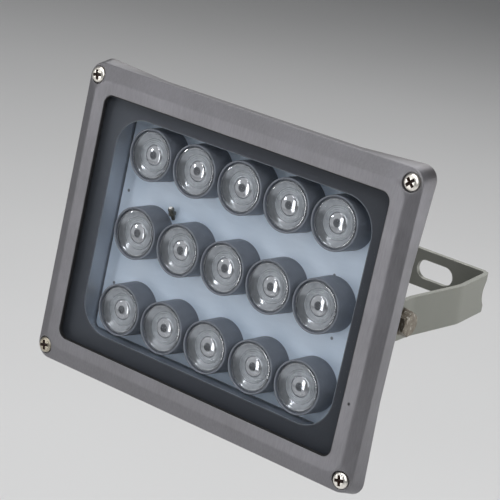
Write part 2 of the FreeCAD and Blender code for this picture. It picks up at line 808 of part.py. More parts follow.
def make_housing():
    """The die-cast rear: flange, glass ledge, bowl, upright fins, driver box, pivot bosses."""
    body = new_body("housing")
    pad(body, "bowl", "XZ_Plane", FLOOR_BACK, f"{FLANGE_BACK} - {FLOOR_BACK}",
        draw_rectangle, "Sizes.bowl_width", "Sizes.bowl_height", "Sizes.bowl_radius")
    round_edges(body, "bowl_soft", "Sizes.bowl_edge_round",
                lambda edge: level(edge, "Y", -number(FLOOR_BACK)))
    pad(body, "flange", "XZ_Plane", FLANGE_BACK, "Sizes.flange_thickness",
        draw_flared, "Sizes.flange_inset")
    pad(body, "glass_ledge", "XZ_Plane", BEZEL_BACK, f"{LEDGE} - {BEZEL_BACK}",
        draw_rectangle, "Sizes.ledge_width", "Sizes.ledge_height", "Sizes.ledge_radius")
    root = f"(-{FLOOR_BACK} - Sizes.floor_thickness / 2)"

    def draw_fin(sketch, tip):
        draw_outline(sketch, [
            (root, "-Sizes.fin_root_height / 2"),
            (tip, "-Sizes.fin_tip_height / 2", "Sizes.fin_round"),
            (tip, "Sizes.fin_tip_height / 2", "Sizes.fin_round"),
            (root, "Sizes.fin_root_height / 2")])

    fin = pad(body, "fin", "YZ_Plane", "-Sizes.fin_pitch * (Sizes.fin_count - 1) / 2",
              "Sizes.fin_thickness", draw_fin, "Sizes.fin_tip_back", both_ways=True)
    repeat(body, "fins", fin, ("row", "X_Axis", "Sizes.fin_pitch", "Sizes.fin_count"))
    side_fin = pad(body, "side_fin", "YZ_Plane", "Sizes.fin_pitch * (Sizes.fin_count + 1) / 2",
                   "Sizes.fin_thickness", draw_fin, "Sizes.side_fin_tip_back", both_ways=True)
    repeat(body, "side_fins", side_fin,
           ("row", "X_Axis", "Sizes.fin_pitch", "Sizes.side_fin_count"), ("mirror", "YZ_Plane"))
    box_depth = f"{FLOOR_BACK} - {BOX_BACK}"
    pad(body, "driver_box", "XZ_Plane", BOX_BACK, f"{box_depth} + Sizes.floor_thickness / 2",
        draw_rectangle, "Sizes.box_width", "Sizes.box_height", "Sizes.box_radius")
    pocket(body, "driver_space", "XZ_Plane", BOX_BACK, box_depth, draw_rectangle,
           "Sizes.box_width - 2 * Sizes.box_wall", "Sizes.box_height - 2 * Sizes.box_wall",
           "Sizes.box_radius - Sizes.box_wall / 2")

    def draw_channel(sketch):
        """The gap between fins that the cable gland stands in, below the box."""
        half = "Sizes.gland_channel_width / 2"
        draw_outline(sketch, [
            (f"-{half}", BOX_FLOOR_UP), (half, BOX_FLOOR_UP),
            (half, "-Sizes.fin_root_height"), (f"-{half}", "-Sizes.fin_root_height")])

    pocket(body, "gland_channel", "XZ_Plane", "-Sizes.fin_tip_back - 1",
           f"Sizes.fin_tip_back + 1 + {FLOOR_BACK}", draw_channel)
    pad(body, "cover_posts", "XZ_Plane", BOX_BACK, f"{box_depth} + Sizes.floor_thickness / 2",
        draw_circles, "Sizes.post_radius", COVER_SCREW_X, COVER_SCREW_UP)
    pad(body, "driver_posts", "XZ_Plane", DRIVER_FRONT,
        f"{FLOOR_BACK} - {DRIVER_FRONT} + Sizes.floor_thickness / 2",
        draw_circles, "Sizes.driver_post_radius", POST_X, POST_UP)
    boss_radius = "Sizes.pivot_boss_radius"
    boss = pad(body, "pivot_boss", "YZ_Plane", ARM_INNER, "Sizes.pivot_boss_length",
               draw_outline, [
                   (root, f"-{boss_radius}"),
                   (boss_radius, f"-{boss_radius}", f"{boss_radius} - 0.01"),
                   (boss_radius, boss_radius, f"{boss_radius} - 0.01"),
                   (root, boss_radius),
               ], along_normal=False)
    repeat(body, "pivot_bosses", boss, ("mirror", "YZ_Plane"))
    pocket(body, "cavity", "XZ_Plane", FLOOR_FRONT, BIG, draw_rectangle,
           "Sizes.cavity_width", "Sizes.cavity_height", "Sizes.cavity_radius")
    thread = "Sizes.bolt_diameter / 2 + Sizes.fixed_clearance"
    depth = "Sizes.bolt_length - Sizes.bolt_washer_thickness - Sizes.strap_thickness + 1"
    for name, side, way in (("right", "", False), ("left", "-", True)):
        pocket(body, f"bolt_thread_{name}", "YZ_Plane", f"{side}{ARM_INNER}", depth,
               draw_circle, thread, along_normal=way)
    pocket(body, "bezel_threads", "XZ_Plane", "0", BIG, draw_circles,
           "Sizes.bezel_screw_diameter / 2 + Sizes.fixed_clearance", SCREW_X, SCREW_UP)
    pocket(body, "board_threads", "XZ_Plane", FLOOR_FRONT, "Sizes.small_screw_length",
           draw_circles, "Sizes.small_screw_diameter / 2 + Sizes.fixed_clearance",
           BOARD_SCREW_X, BOARD_SCREW_UP, along_normal=False)
    pocket(body, "driver_threads", "XZ_Plane", DRIVER_FRONT, "Sizes.small_screw_length + 1",
           draw_circles, "Sizes.small_screw_diameter / 2 + Sizes.fixed_clearance",
           POST_X, POST_UP)
    pocket(body, "cover_threads", "XZ_Plane", BOX_BACK, "Sizes.cover_screw_length + 1",
           draw_circles, "Sizes.cover_screw_diameter / 2 + Sizes.fixed_clearance",
           COVER_SCREW_X, COVER_SCREW_UP)
    pocket(body, "lead_hole", "XZ_Plane", FLOOR_FRONT, "Sizes.floor_thickness + 1",
           draw_circle, "Sizes.lead_hole_diameter / 2", "Sizes.lead_hole_x", "0",
           along_normal=False)
    pocket(body, "gland_hole", "XY_Plane", BOX_FLOOR_UP, "Sizes.box_wall", draw_circle,
           "Sizes.gland_thread_diameter / 2 + Sizes.fixed_clearance", "0", "Sizes.gland_back")
    seat_on_head(body)
    finish(body, "rear_housing")


def make_board():
    """The white lamp board, screwed flat to the housing's floor."""
    body = new_body("board")
    pad(body, "board_edge", "XZ_Plane", FLOOR_FRONT, "Sizes.board_thickness", draw_rectangle,
        "Sizes.board_width", "Sizes.board_height", "Sizes.board_radius")
    pocket(body, "board_holes", "XZ_Plane", "0", BIG, draw_circles,
           "Sizes.small_screw_diameter / 2 + Sizes.turning_clearance",
           BOARD_SCREW_X, BOARD_SCREW_UP)
    seat_on_head(body)
    finish(body, "led_board")


def draw_cross(sketch):
    """The cross recess of a screw."""
    half = "Sizes.cross_width / 2"
    end = "Sizes.cross_length / 2"
    corners = []
    for quarter in range(4):
        along, across = f"cos({90 * quarter})", f"sin({90 * quarter})"
        for x, y in ((end, f"-{half}"), (end, half), (half, half)):
            corners.append((f"({x}) * {along} - ({y}) * {across}",
                            f"({x}) * {across} + ({y}) * {along}"))
    draw_outline(sketch, corners)


def make_screws(name, seat, spot, sizes, way="1", crossed=False):
    """Four round-headed screws. The seat is a station along the beam, way is 1 forward."""
    length, diameter, head, height = sizes

    def station(reach):
        return f"(-(({seat}) + {way} * ({reach})))"

    body = new_body(f"{name}_set")
    screw = turn(body, f"{name}_profile", [
        ("0", station(f"-{length}")),
        (f"{diameter} / 2", station(f"-{length}")),
        (f"{diameter} / 2", station("0")),
        (f"{head} / 2", station("0")),
        (f"{head} / 2", station(f"{height} * 0.55")),
        (f"{head} * 0.36", station(height)),
        ("0", station(height)),
    ], offset=spot[1], shift=(spot[0], "0"))
    cuts = ()
    if crossed:
        sketch = new_sketch(body, f"{name}_cross", "XZ_Plane", f"{seat} + {height}", spot)
        draw_cross(sketch)
        cuts = (extrude(body, sketch, "Sizes.cross_depth", "Pocket", along_normal=False),)
        doc.recompute()
    mirror_four(body, f"{name}_four", (screw,) + cuts)
    seat_on_head(body)
    finish(body, name)


def make_fasteners():
    make_screws("bezel_screws", SCREW_SEAT, (SCREW_X, SCREW_UP), (
        "Sizes.bezel_screw_length", "Sizes.bezel_screw_diameter",
        "Sizes.screw_head_diameter", "Sizes.screw_head_height"), crossed=True)
    small = ("Sizes.small_screw_length", "Sizes.small_screw_diameter",
             "Sizes.small_screw_head", "Sizes.small_screw_head_height")
    make_screws("board_screws", BOARD_FRONT, (BOARD_SCREW_X, BOARD_SCREW_UP), small)
    make_screws("driver_board_screws", DRIVER_BACK, (POST_X, POST_UP), small, way="-1")
    make_screws("cover_screws", COVER_BACK, (COVER_SCREW_X, COVER_SCREW_UP), (
        "Sizes.cover_screw_length", "Sizes.cover_screw_diameter",
        "Sizes.cover_screw_head", "Sizes.small_screw_head_height"), way="-1")


def make_holder(name, x, up):
    """A lens holder: a drafted cup with a ledge for the lens and a window for the emitter."""
    body = new_body(f"{name}_cup")
    radius = "Sizes.holder_diameter / 2"
    rim = f"({radius} - Sizes.holder_draft)"
    bore = "(Sizes.lens_diameter / 2 + Sizes.lens_clearance)"
    ledge = "(-(Sizes.holder_height - Sizes.lens_setback - Sizes.lens_flange))"
    neck = "(Sizes.lens_neck_diameter / 2 + Sizes.lens_clearance)"
    foot = "(Sizes.lens_foot_diameter / 2 + Sizes.lens_clearance)"
    eye = "(Sizes.emitter_diameter / 2 + Sizes.lens_clearance)"
    turn(body, f"{name}_profile", [
        (eye, "0"), (radius, "0"), (rim, "-Sizes.holder_height"),
        (bore, "-Sizes.holder_height"), (bore, ledge), (neck, ledge),
        (foot, "-Sizes.holder_base"), (eye, "-Sizes.holder_base")])
    seat_on_head(body, x, BOARD_FRONT, up)
    finish(body, name)


def make_lens(name, x, up):
    """A clear collimating lens: dished face, flange, conical body, pocket over the emitter."""
    body = new_body(f"{name}_clear")
    face = "(-(Sizes.holder_height - Sizes.lens_setback))"
    under = f"({face} + Sizes.lens_flange)"
    foot = "(-(Sizes.holder_base + Sizes.lens_foot_gap))"
    dish = "Sizes.lens_dish_diameter / 2"
    hollow = "Sizes.lens_pocket_diameter / 2"
    turn(body, f"{name}_profile", [
        ("0", f"{face} + Sizes.lens_dish_depth * 0.7"),
        (f"{dish} * 0.55", f"{face} + Sizes.lens_dish_depth"),
        (dish, face),
        ("Sizes.lens_diameter / 2", face),
        ("Sizes.lens_diameter / 2", under),
        ("Sizes.lens_neck_diameter / 2", under),
        ("Sizes.lens_foot_diameter / 2", foot),
        (hollow, foot),
        (f"{hollow} * 0.9", f"{foot} - Sizes.lens_pocket_depth"),
        ("0", f"{foot} - Sizes.lens_pocket_depth * 1.2")])
    seat_on_head(body, x, BOARD_FRONT, up)
    finish(body, name)


def make_lamps():
    """Fifteen lamps: one emitter, one holder and one lens at each place of the grid."""
    first_x = "(-Sizes.lamp_pitch_x * (Sizes.lamp_columns - 1) / 2)"
    first_up = "(-Sizes.lamp_pitch_z * (Sizes.lamp_rows - 1) / 2)"
    emitters = new_body("emitters")
    radius = "Sizes.emitter_diameter / 2"
    base = f"(-({BOARD_FRONT} + Sizes.emitter_base))"
    top = f"(-({BOARD_FRONT} + Sizes.emitter_base + Sizes.emitter_dome))"
    dome = "Sizes.emitter_dome"
    one = turn(emitters, "emitter", [
        ("0", f"-{BOARD_FRONT}"), (radius, f"-{BOARD_FRONT}"), (radius, base),
        (dome, base), (dome, top, f"{dome} * 0.9"), ("0", top)],
        offset=first_up, shift=(first_x, "0"))
    repeat(emitters, "emitter_grid", one,
           ("row", "X_Axis", "Sizes.lamp_pitch_x", "Sizes.lamp_columns"),
           ("row", "Z_Axis", "Sizes.lamp_pitch_z", "Sizes.lamp_rows"))
    seat_on_head(emitters)
    finish(emitters, "led_emitters")
    for row in range(int(number("Sizes.lamp_rows"))):
        for column in range(int(number("Sizes.lamp_columns"))):
            x = f"({first_x} + {column} * Sizes.lamp_pitch_x)"
            up = f"(-{first_up} - {row} * Sizes.lamp_pitch_z)"
            place = f"row{row + 1}_column{column + 1}"
            make_holder(f"lens_holder_{place}", x, up)
            make_lens(f"lens_{place}", x, up)


def make_sensor():
    """The clear light sensor that stands on the board and leans up on its two leads."""
    place = ("Sizes.sensor_x", BOARD_FRONT, "Sizes.sensor_up", "Sizes.sensor_lean")
    body = new_body("sensor")
    radius = "Sizes.sensor_diameter / 2"
    flange = "Sizes.sensor_flange_diameter / 2"
    seat = "(-Sizes.sensor_standoff)"
    step = f"({seat} - Sizes.sensor_flange_thickness)"
    tip = f"({seat} - Sizes.sensor_length)"
    turn(body, "sensor_profile", [
        ("0", seat), (flange, seat), (flange, step), (radius, step),
        (radius, tip, f"{radius} * 0.96"), ("0", tip)])
    seat_on_head(body, *place)
    finish(body, "light_sensor")
    leads = new_body("leads")
    heel = "(Sizes.sensor_lead_diameter / 2 * tan(Sizes.sensor_lean))"
    for side in ("", "-"):
        pad(leads, "sensor_lead", "XZ_Plane", heel, f"Sizes.sensor_standoff - {heel}",
            draw_circle, "Sizes.sensor_lead_diameter / 2",
            f"{side}Sizes.sensor_lead_spacing / 2")
    seat_on_head(leads, *place)
    finish(leads, "sensor_leads")


def make_driver():
    """The driver board behind the floor, with what stands on it, and its two leads."""
    board = new_body("driver")
    pad(board, "driver_edge", "XZ_Plane", DRIVER_BACK, "Sizes.board_thickness",
        draw_rectangle, "Sizes.driver_board_width", "Sizes.driver_board_height", "1")
    pocket(board, "driver_holes", "XZ_Plane", "-50", BIG, draw_circles,
           "Sizes.small_screw_diameter / 2 + Sizes.turning_clearance", POST_X, POST_UP)
    seat_on_head(board)
    finish(board, "driver_board")

    cans = new_body("cans")
    for side in ("", "-"):
        pad(cans, "capacitor", "XZ_Plane", DRIVER_BACK, "Sizes.capacitor_height",
            draw_circle, "Sizes.capacitor_diameter / 2", "Sizes.capacitor_x",
            f"{side}Sizes.capacitor_pitch / 2", along_normal=False)
    seat_on_head(cans)
    finish(cans, "driver_capacitors")

    coil = new_body("coil")
    outer = "Sizes.coil_outer_diameter / 2"
    low = f"(-{DRIVER_BACK})"
    high = f"({low} + Sizes.coil_height)"
    turn(coil, "coil_profile", [
        (f"{outer} * 0.4", low, "1.5"), (outer, low, "1.5"),
        (outer, high, "1.5"), (f"{outer} * 0.4", high, "1.5")],
        offset="Sizes.coil_up", shift=("Sizes.coil_x", "0"))
    seat_on_head(coil)
    finish(coil, "driver_coil")

    chips = new_body("chips")
    second_x = "Sizes.coil_x + Sizes.chip_gap"
    for x, side in (("Sizes.coil_x", ""), (second_x, ""), (second_x, "-")):
        pad(chips, "chip", "XZ_Plane", DRIVER_BACK, "Sizes.chip_height", draw_rectangle,
            "Sizes.chip_length", "Sizes.chip_width", "0.4", x, f"{side}Sizes.chip_up",
            along_normal=False)
    seat_on_head(chips)
    finish(chips, "driver_chips")

    block = new_body("block")
    pad(block, "terminal", "XZ_Plane", DRIVER_BACK, "Sizes.terminal_height", draw_rectangle,
        "Sizes.terminal_depth", "Sizes.terminal_width", "0.5", "Sizes.terminal_x", "0",
        along_normal=False)
    for side in ("", "-"):
        pocket(block, "terminal_well", "XZ_Plane", f"{DRIVER_BACK} - Sizes.terminal_height",
               "Sizes.terminal_height / 2", draw_circle, "Sizes.terminal_width * 0.18",
               "Sizes.terminal_x", f"{side}Sizes.terminal_width / 4")
    seat_on_head(block)
    finish(block, "terminal_block")

    leads = new_body("lamp_leads")
    up = "Sizes.lead_spacing / 2"
    bend = "Sizes.lead_bend_radius"
    loop = f"({low} + Sizes.lead_loop)"
    path = new_sketch(leads, "lead_path", "XY_Plane", up)
    draw_outline(path, [
        ("Sizes.lead_start_x", low), ("Sizes.lead_start_x", loop, bend),
        ("Sizes.lead_hole_x", loop, bend), ("Sizes.lead_hole_x", f"-{FLOOR_FRONT}")],
        closed=False)
    section = new_sketch(leads, "lead_section", "XZ_Plane", DRIVER_BACK)
    draw_circle(section, "Sizes.lead_diameter / 2", "Sizes.lead_start_x", up)
    pipe = leads.newObject("PartDesign::AdditivePipe", "lead_pipe")
    pipe.Profile = section
    pipe.Spine = (path, [])
    repeat(leads, "lead_pair", pipe, ("mirror", "XY_Plane"))
    seat_on_head(leads)
    finish(leads, "led_leads")


def make_cover():
    """The driver box's lid, on a flat gasket."""
    outline = ("Sizes.box_width", "Sizes.box_height", "Sizes.box_radius")
    gasket = new_body("cover_seal")
    wall = "2 * Sizes.box_wall"
    pad(gasket, "gasket_flat", "XZ_Plane", COVER_FRONT, "Sizes.cover_gasket_thickness",
        draw_ring, outline, (f"Sizes.box_width - {wall}", f"Sizes.box_height - {wall}",
                             "Sizes.box_radius - Sizes.box_wall / 2"))
    seat_on_head(gasket)
    finish(gasket, "cover_gasket")
    lid = new_body("lid")
    pad(lid, "lid_plate", "XZ_Plane", COVER_BACK, "Sizes.cover_thickness",
        draw_rectangle, *outline)
    round_edges(lid, "lid_soft", "Sizes.cover_round",
                lambda edge: level(edge, "Y", -number(COVER_BACK)))
    pocket(lid, "lid_holes", "XZ_Plane", "-60", BIG, draw_circles,
           "Sizes.cover_screw_diameter / 2 + Sizes.turning_clearance",
           COVER_SCREW_X, COVER_SCREW_UP)
    seat_on_head(lid)
    finish(lid, "rear_cover")


def make_gland():
    """The cable gland under the driver box: body, locknut, rubber seal and dome nut."""
    place = ("0", "-Sizes.gland_back", BOX_FLOOR_UP)
    sleeve_end = "(Sizes.gland_flange_thickness + Sizes.gland_sleeve_length)"
    seal_radius = "(Sizes.gland_seal_bore / 2 + Sizes.gland_seal_wall)"
    seal_top = "(Sizes.gland_flange_thickness + 1)"
    seal_end = f"({sleeve_end} + Sizes.gland_nut_gap)"
    nut_top = "(Sizes.gland_flange_thickness + Sizes.gland_nut_gap)"
    body = new_body("gland")
    pad(body, "gland_flange", "XY_Plane", "0", "Sizes.gland_flange_thickness",
        draw_hexagon, "Sizes.gland_flats", along_normal=False)
    pad(body, "gland_stub", "XY_Plane", "0", "Sizes.gland_thread_inside",
        draw_circle, "Sizes.gland_thread_diameter / 2")
    pad(body, "gland_sleeve", "XY_Plane", "0", sleeve_end, draw_circle,
        "Sizes.gland_sleeve_diameter / 2", along_normal=False)
    pocket(body, "gland_bore_cut", "XY_Plane", "0", BIG, draw_circle,
           "Sizes.gland_bore / 2", both_ways=True)
    pocket(body, "gland_seal_seat", "XY_Plane", f"-{sleeve_end}", f"{sleeve_end} - {seal_top}",
           draw_circle, f"{seal_radius} + Sizes.fixed_clearance")
    seat_on_head(body, *place)
    finish(body, "gland_body")

    locknut = new_body("gland_nut_inside")
    pad(locknut, "locknut", "XY_Plane", "Sizes.box_wall", "Sizes.locknut_thickness",
        draw_hexagon, "Sizes.locknut_flats")
    pocket(locknut, "locknut_bore", "XY_Plane", "0", BIG, draw_circle,
           "Sizes.gland_thread_diameter / 2 + Sizes.fixed_clearance")
    seat_on_head(locknut, *place)
    finish(locknut, "gland_locknut")

    seal = new_body("gland_rubber")
    turn(seal, "gland_seal_profile", [
        ("Sizes.gland_seal_bore / 2", f"-{seal_top}"), (seal_radius, f"-{seal_top}"),
        (seal_radius, f"-{seal_end}"), ("Sizes.gland_seal_bore / 2", f"-{seal_end}")],
        role="XZ_Plane")
    seat_on_head(seal, *place)
    finish(seal, "gland_seal")

    nut = new_body("gland_cap")
    nut_end = f"({nut_top} + Sizes.gland_nut_length)"
    pad(nut, "nut_hexagon", "XY_Plane", f"-{nut_top}", f"{seal_end} - {nut_top}",
        draw_hexagon, "Sizes.gland_flats", along_normal=False)
    turn(nut, "nut_dome", [
        ("0", f"-{seal_end}"), ("Sizes.gland_flats / 2", f"-{seal_end}"),
        ("Sizes.gland_flats * 0.48", f"-{nut_end}", "3"), ("0", f"-{nut_end}")],
        role="XZ_Plane")
    pocket(nut, "nut_thread", "XY_Plane", f"-{seal_end}", f"{seal_end}", draw_circle,
           "Sizes.gland_sleeve_diameter / 2 + Sizes.turning_clearance")
    pocket(nut, "nut_mouth", "XY_Plane", "0", BIG, draw_circle,
           "Sizes.gland_nut_mouth / 2", both_ways=True)
    seat_on_head(nut, *place)
    finish(nut, "gland_nut")


def build():
    make_bracket()
    make_pivot_bolts()
    make_bezel()
    make_glass_pack()
    make_housing()
    make_board()
    make_lamps()
    make_sensor()
    make_fasteners()
    make_driver()
    make_cover()
    make_gland()


build()
doc.recompute()
for item in doc.Objects:
    if "Invalid" in item.State or "Error" in item.State:
        raise ValueError(f"{item.Name} failed: {item.State}")
os.makedirs("parts", exist_ok=True)
for piece in parts:
    shape = piece.Shape
    if shape.isNull() or not shape.isValid():
        raise ValueError(f"{piece.Label} has no valid shape")
    shape.exportStep(f"parts/{piece.Label}.step")
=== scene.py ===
"""Looks of the infrared illuminator: finishes, window, lamps, fixings, light and camera.

Metres, in the frame's axes. Places on the tilting head are given in its own millimetres:
x to the right, forward of the tilt axis along the beam, up square to the beam.
"""
import json
import math

import bmesh
import bpy
from mathutils import Matrix, Vector


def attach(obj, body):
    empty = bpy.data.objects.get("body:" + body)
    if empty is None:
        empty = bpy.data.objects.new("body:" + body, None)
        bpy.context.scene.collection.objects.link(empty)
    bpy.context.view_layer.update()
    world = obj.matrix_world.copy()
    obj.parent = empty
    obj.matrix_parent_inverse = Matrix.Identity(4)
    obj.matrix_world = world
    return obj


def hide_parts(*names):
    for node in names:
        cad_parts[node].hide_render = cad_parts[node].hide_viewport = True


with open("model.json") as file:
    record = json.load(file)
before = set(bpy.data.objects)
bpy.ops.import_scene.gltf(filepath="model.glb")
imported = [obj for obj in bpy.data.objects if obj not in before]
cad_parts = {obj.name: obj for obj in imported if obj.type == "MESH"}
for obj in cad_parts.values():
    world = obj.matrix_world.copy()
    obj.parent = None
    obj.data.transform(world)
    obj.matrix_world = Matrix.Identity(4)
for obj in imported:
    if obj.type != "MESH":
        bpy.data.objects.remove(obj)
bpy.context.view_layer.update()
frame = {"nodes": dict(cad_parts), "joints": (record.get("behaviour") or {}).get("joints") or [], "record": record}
nodes = frame["nodes"]

MM = 0.001
TILT = math.radians(8)
PIVOT = Vector(frame["joints"][0]["pos_m"])
HEAD_TURN = Matrix.Rotation(-TILT, 4, "X")
HEAD = Matrix.Translation(PIVOT) @ HEAD_TURN @ Matrix.Scale(MM, 4)

# Stations forward of the tilt axis and sizes on the head, in millimetres
HOLDER_RIM = 26.4
BOARD_FRONT = 13.7
FLOOR_FRONT = 12.1
GLASS_BACK = 27.45
GLASS_FRONT = 30.38
GLASS_HALF_X = 81.5
GLASS_HALF_UP = 60.8
GLASS_RADIUS = 5
WINDOW_HALF_X = 70.3
WINDOW_HALF_UP = 50.2
WINDOW_RADIUS = 15
PRINT_HALF_X = 75.0
PRINT_HALF_UP = 55.0
CAVITY_HALF_X = 73.3
CAVITY_HALF_UP = 53.3
SCREW_SEAT = 29.9
SCREW_X = 84.9
SCREW_UP = 64.2
SCREW_HEAD = 2.4
SCREW_LENGTH = 10.3
CROSS_DEPTH = 1.5
CROSS_REACH = 2.4
BOLT_SEAT = 78.5
BOLT_FLATS = 10
BOLT_HEAD = 4
BOLT_CROWN = 4.75
BOLT_FOOT = 5.5
BOLT_SLOPE = 1.7
BOLT_SHANK = 3
BOLT_LENGTH = 14
LAMP_COLUMNS = 5
LAMP_ROWS = 3
LAMP_PITCH_X = 25.4
LAMP_PITCH_UP = 36.3
SENSOR_FOOT = (-40.6, BOARD_FRONT, 9.65)
SENSOR_LEAN = 55

# Along the sensor's stem from its foot: top of the stem, middle of the domed tip; then the bulb's radius
STEM_TOP = 2.4
BULB_DOME = 5.15
BULB_RADIUS = 1.45

# Height above the lamp board where a lens's clear front meets its bowl, then radii on its bowl
LENS_EDGE = 11.0
LENS_DOME = 4.4
DARK_MIDDLE = 1.9

# In the head's axes, whose Y points backwards: the pit in the frame's right lip, and between which heights and
# which depths the brown painted shade along the top of the frame fades in
PIT = (81.1, -32.3, -31.7)
TOP_SHADE_UP = (60.0, 69.0)
TOP_SHADE_BACK = (-29.0, -22.0)

# Each screw: side, above or below, turn of its cross in degrees, whether it has tarnished
SCREWS = ((-1, 1, 12, False), (1, 1, 45, False), (1, -1, 12, False), (-1, -1, 15, True))

# Dark spots of painted shade at small holes in the lamp board: x and up
BOARD_HOLE_SHADES = ((-66.5, -29.3), (-68.8, 14.3), (48.8, 12.0), (54.6, -14.2))

# The camera, from the middle of the lamps' rims, along the head's own axes
CAMERA_FROM_LAMPS = Vector((461.35, -652.1, 197.95))
CAMERA_AHEAD = Vector((-0.552, 0.802, -0.2281))
CAMERA_UP = Vector((-0.3038, 0.0613, 0.9508))
CAMERA_LENS = 137.1
CAMERA_SENSOR = 36

# Each light: name, direction from the head's middle as x, forward and up, then its distance, width and
# height in metres, and its radiance
LIGHTS = (
    ("window_side", (-0.66, 0.71, 0.18), 1.2, 1.15, 1.35, 0.74),
    ("camera_side", (0.66, 0.62, 0.42), 1.2, 1.0, 1.0, 1.8),
    ("behind_right", (0.62, -0.74, 0.04), 1.2, 0.9, 0.9, 1.75),
    ("behind_left", (-0.30, -0.62, 0.72), 1.7, 1.3, 1.3, 2.0),
    ("overhead", (0.0, 0.35, 0.93), 1.6, 1.8, 1.8, 2.2),
    ("strip", (-0.33, 0.92, -0.16), 1.2, 0.15, 0.5, 5.0),
    ("spark_left", (-0.713, 0.701, -0.026), 1.2, 0.04, 0.08, 44.0),
    ("spark_top", (-0.30, 0.90, 0.317), 1.2, 0.08, 0.04, 44.0),
)
FLOOR_LEVEL = -0.36
FLOOR_REACH = 5.0
SURROUND_COLOUR = (0.93, 0.95, 0.98, 1)
SURROUND_STRENGTH = 0.11


def head_place(x, forward, up, turn=0.0):
    """A frame on the head, in millimetres, whose Z points along the beam."""
    spot = Matrix.Translation(Vector((x, -forward, up)))
    return HEAD @ spot @ Matrix.Rotation(math.pi / 2, 4, "X") @ Matrix.Rotation(turn, 4, "Z")


def srgb(red, green, blue, alpha=1.0):
    """A colour given as 0-255 display values, as the shader wants it."""
    def linear(value):
        value /= 255
        return value / 12.92 if value <= 0.04045 else ((value + 0.055) / 1.055) ** 2.4
    return (linear(red), linear(green), linear(blue), alpha)


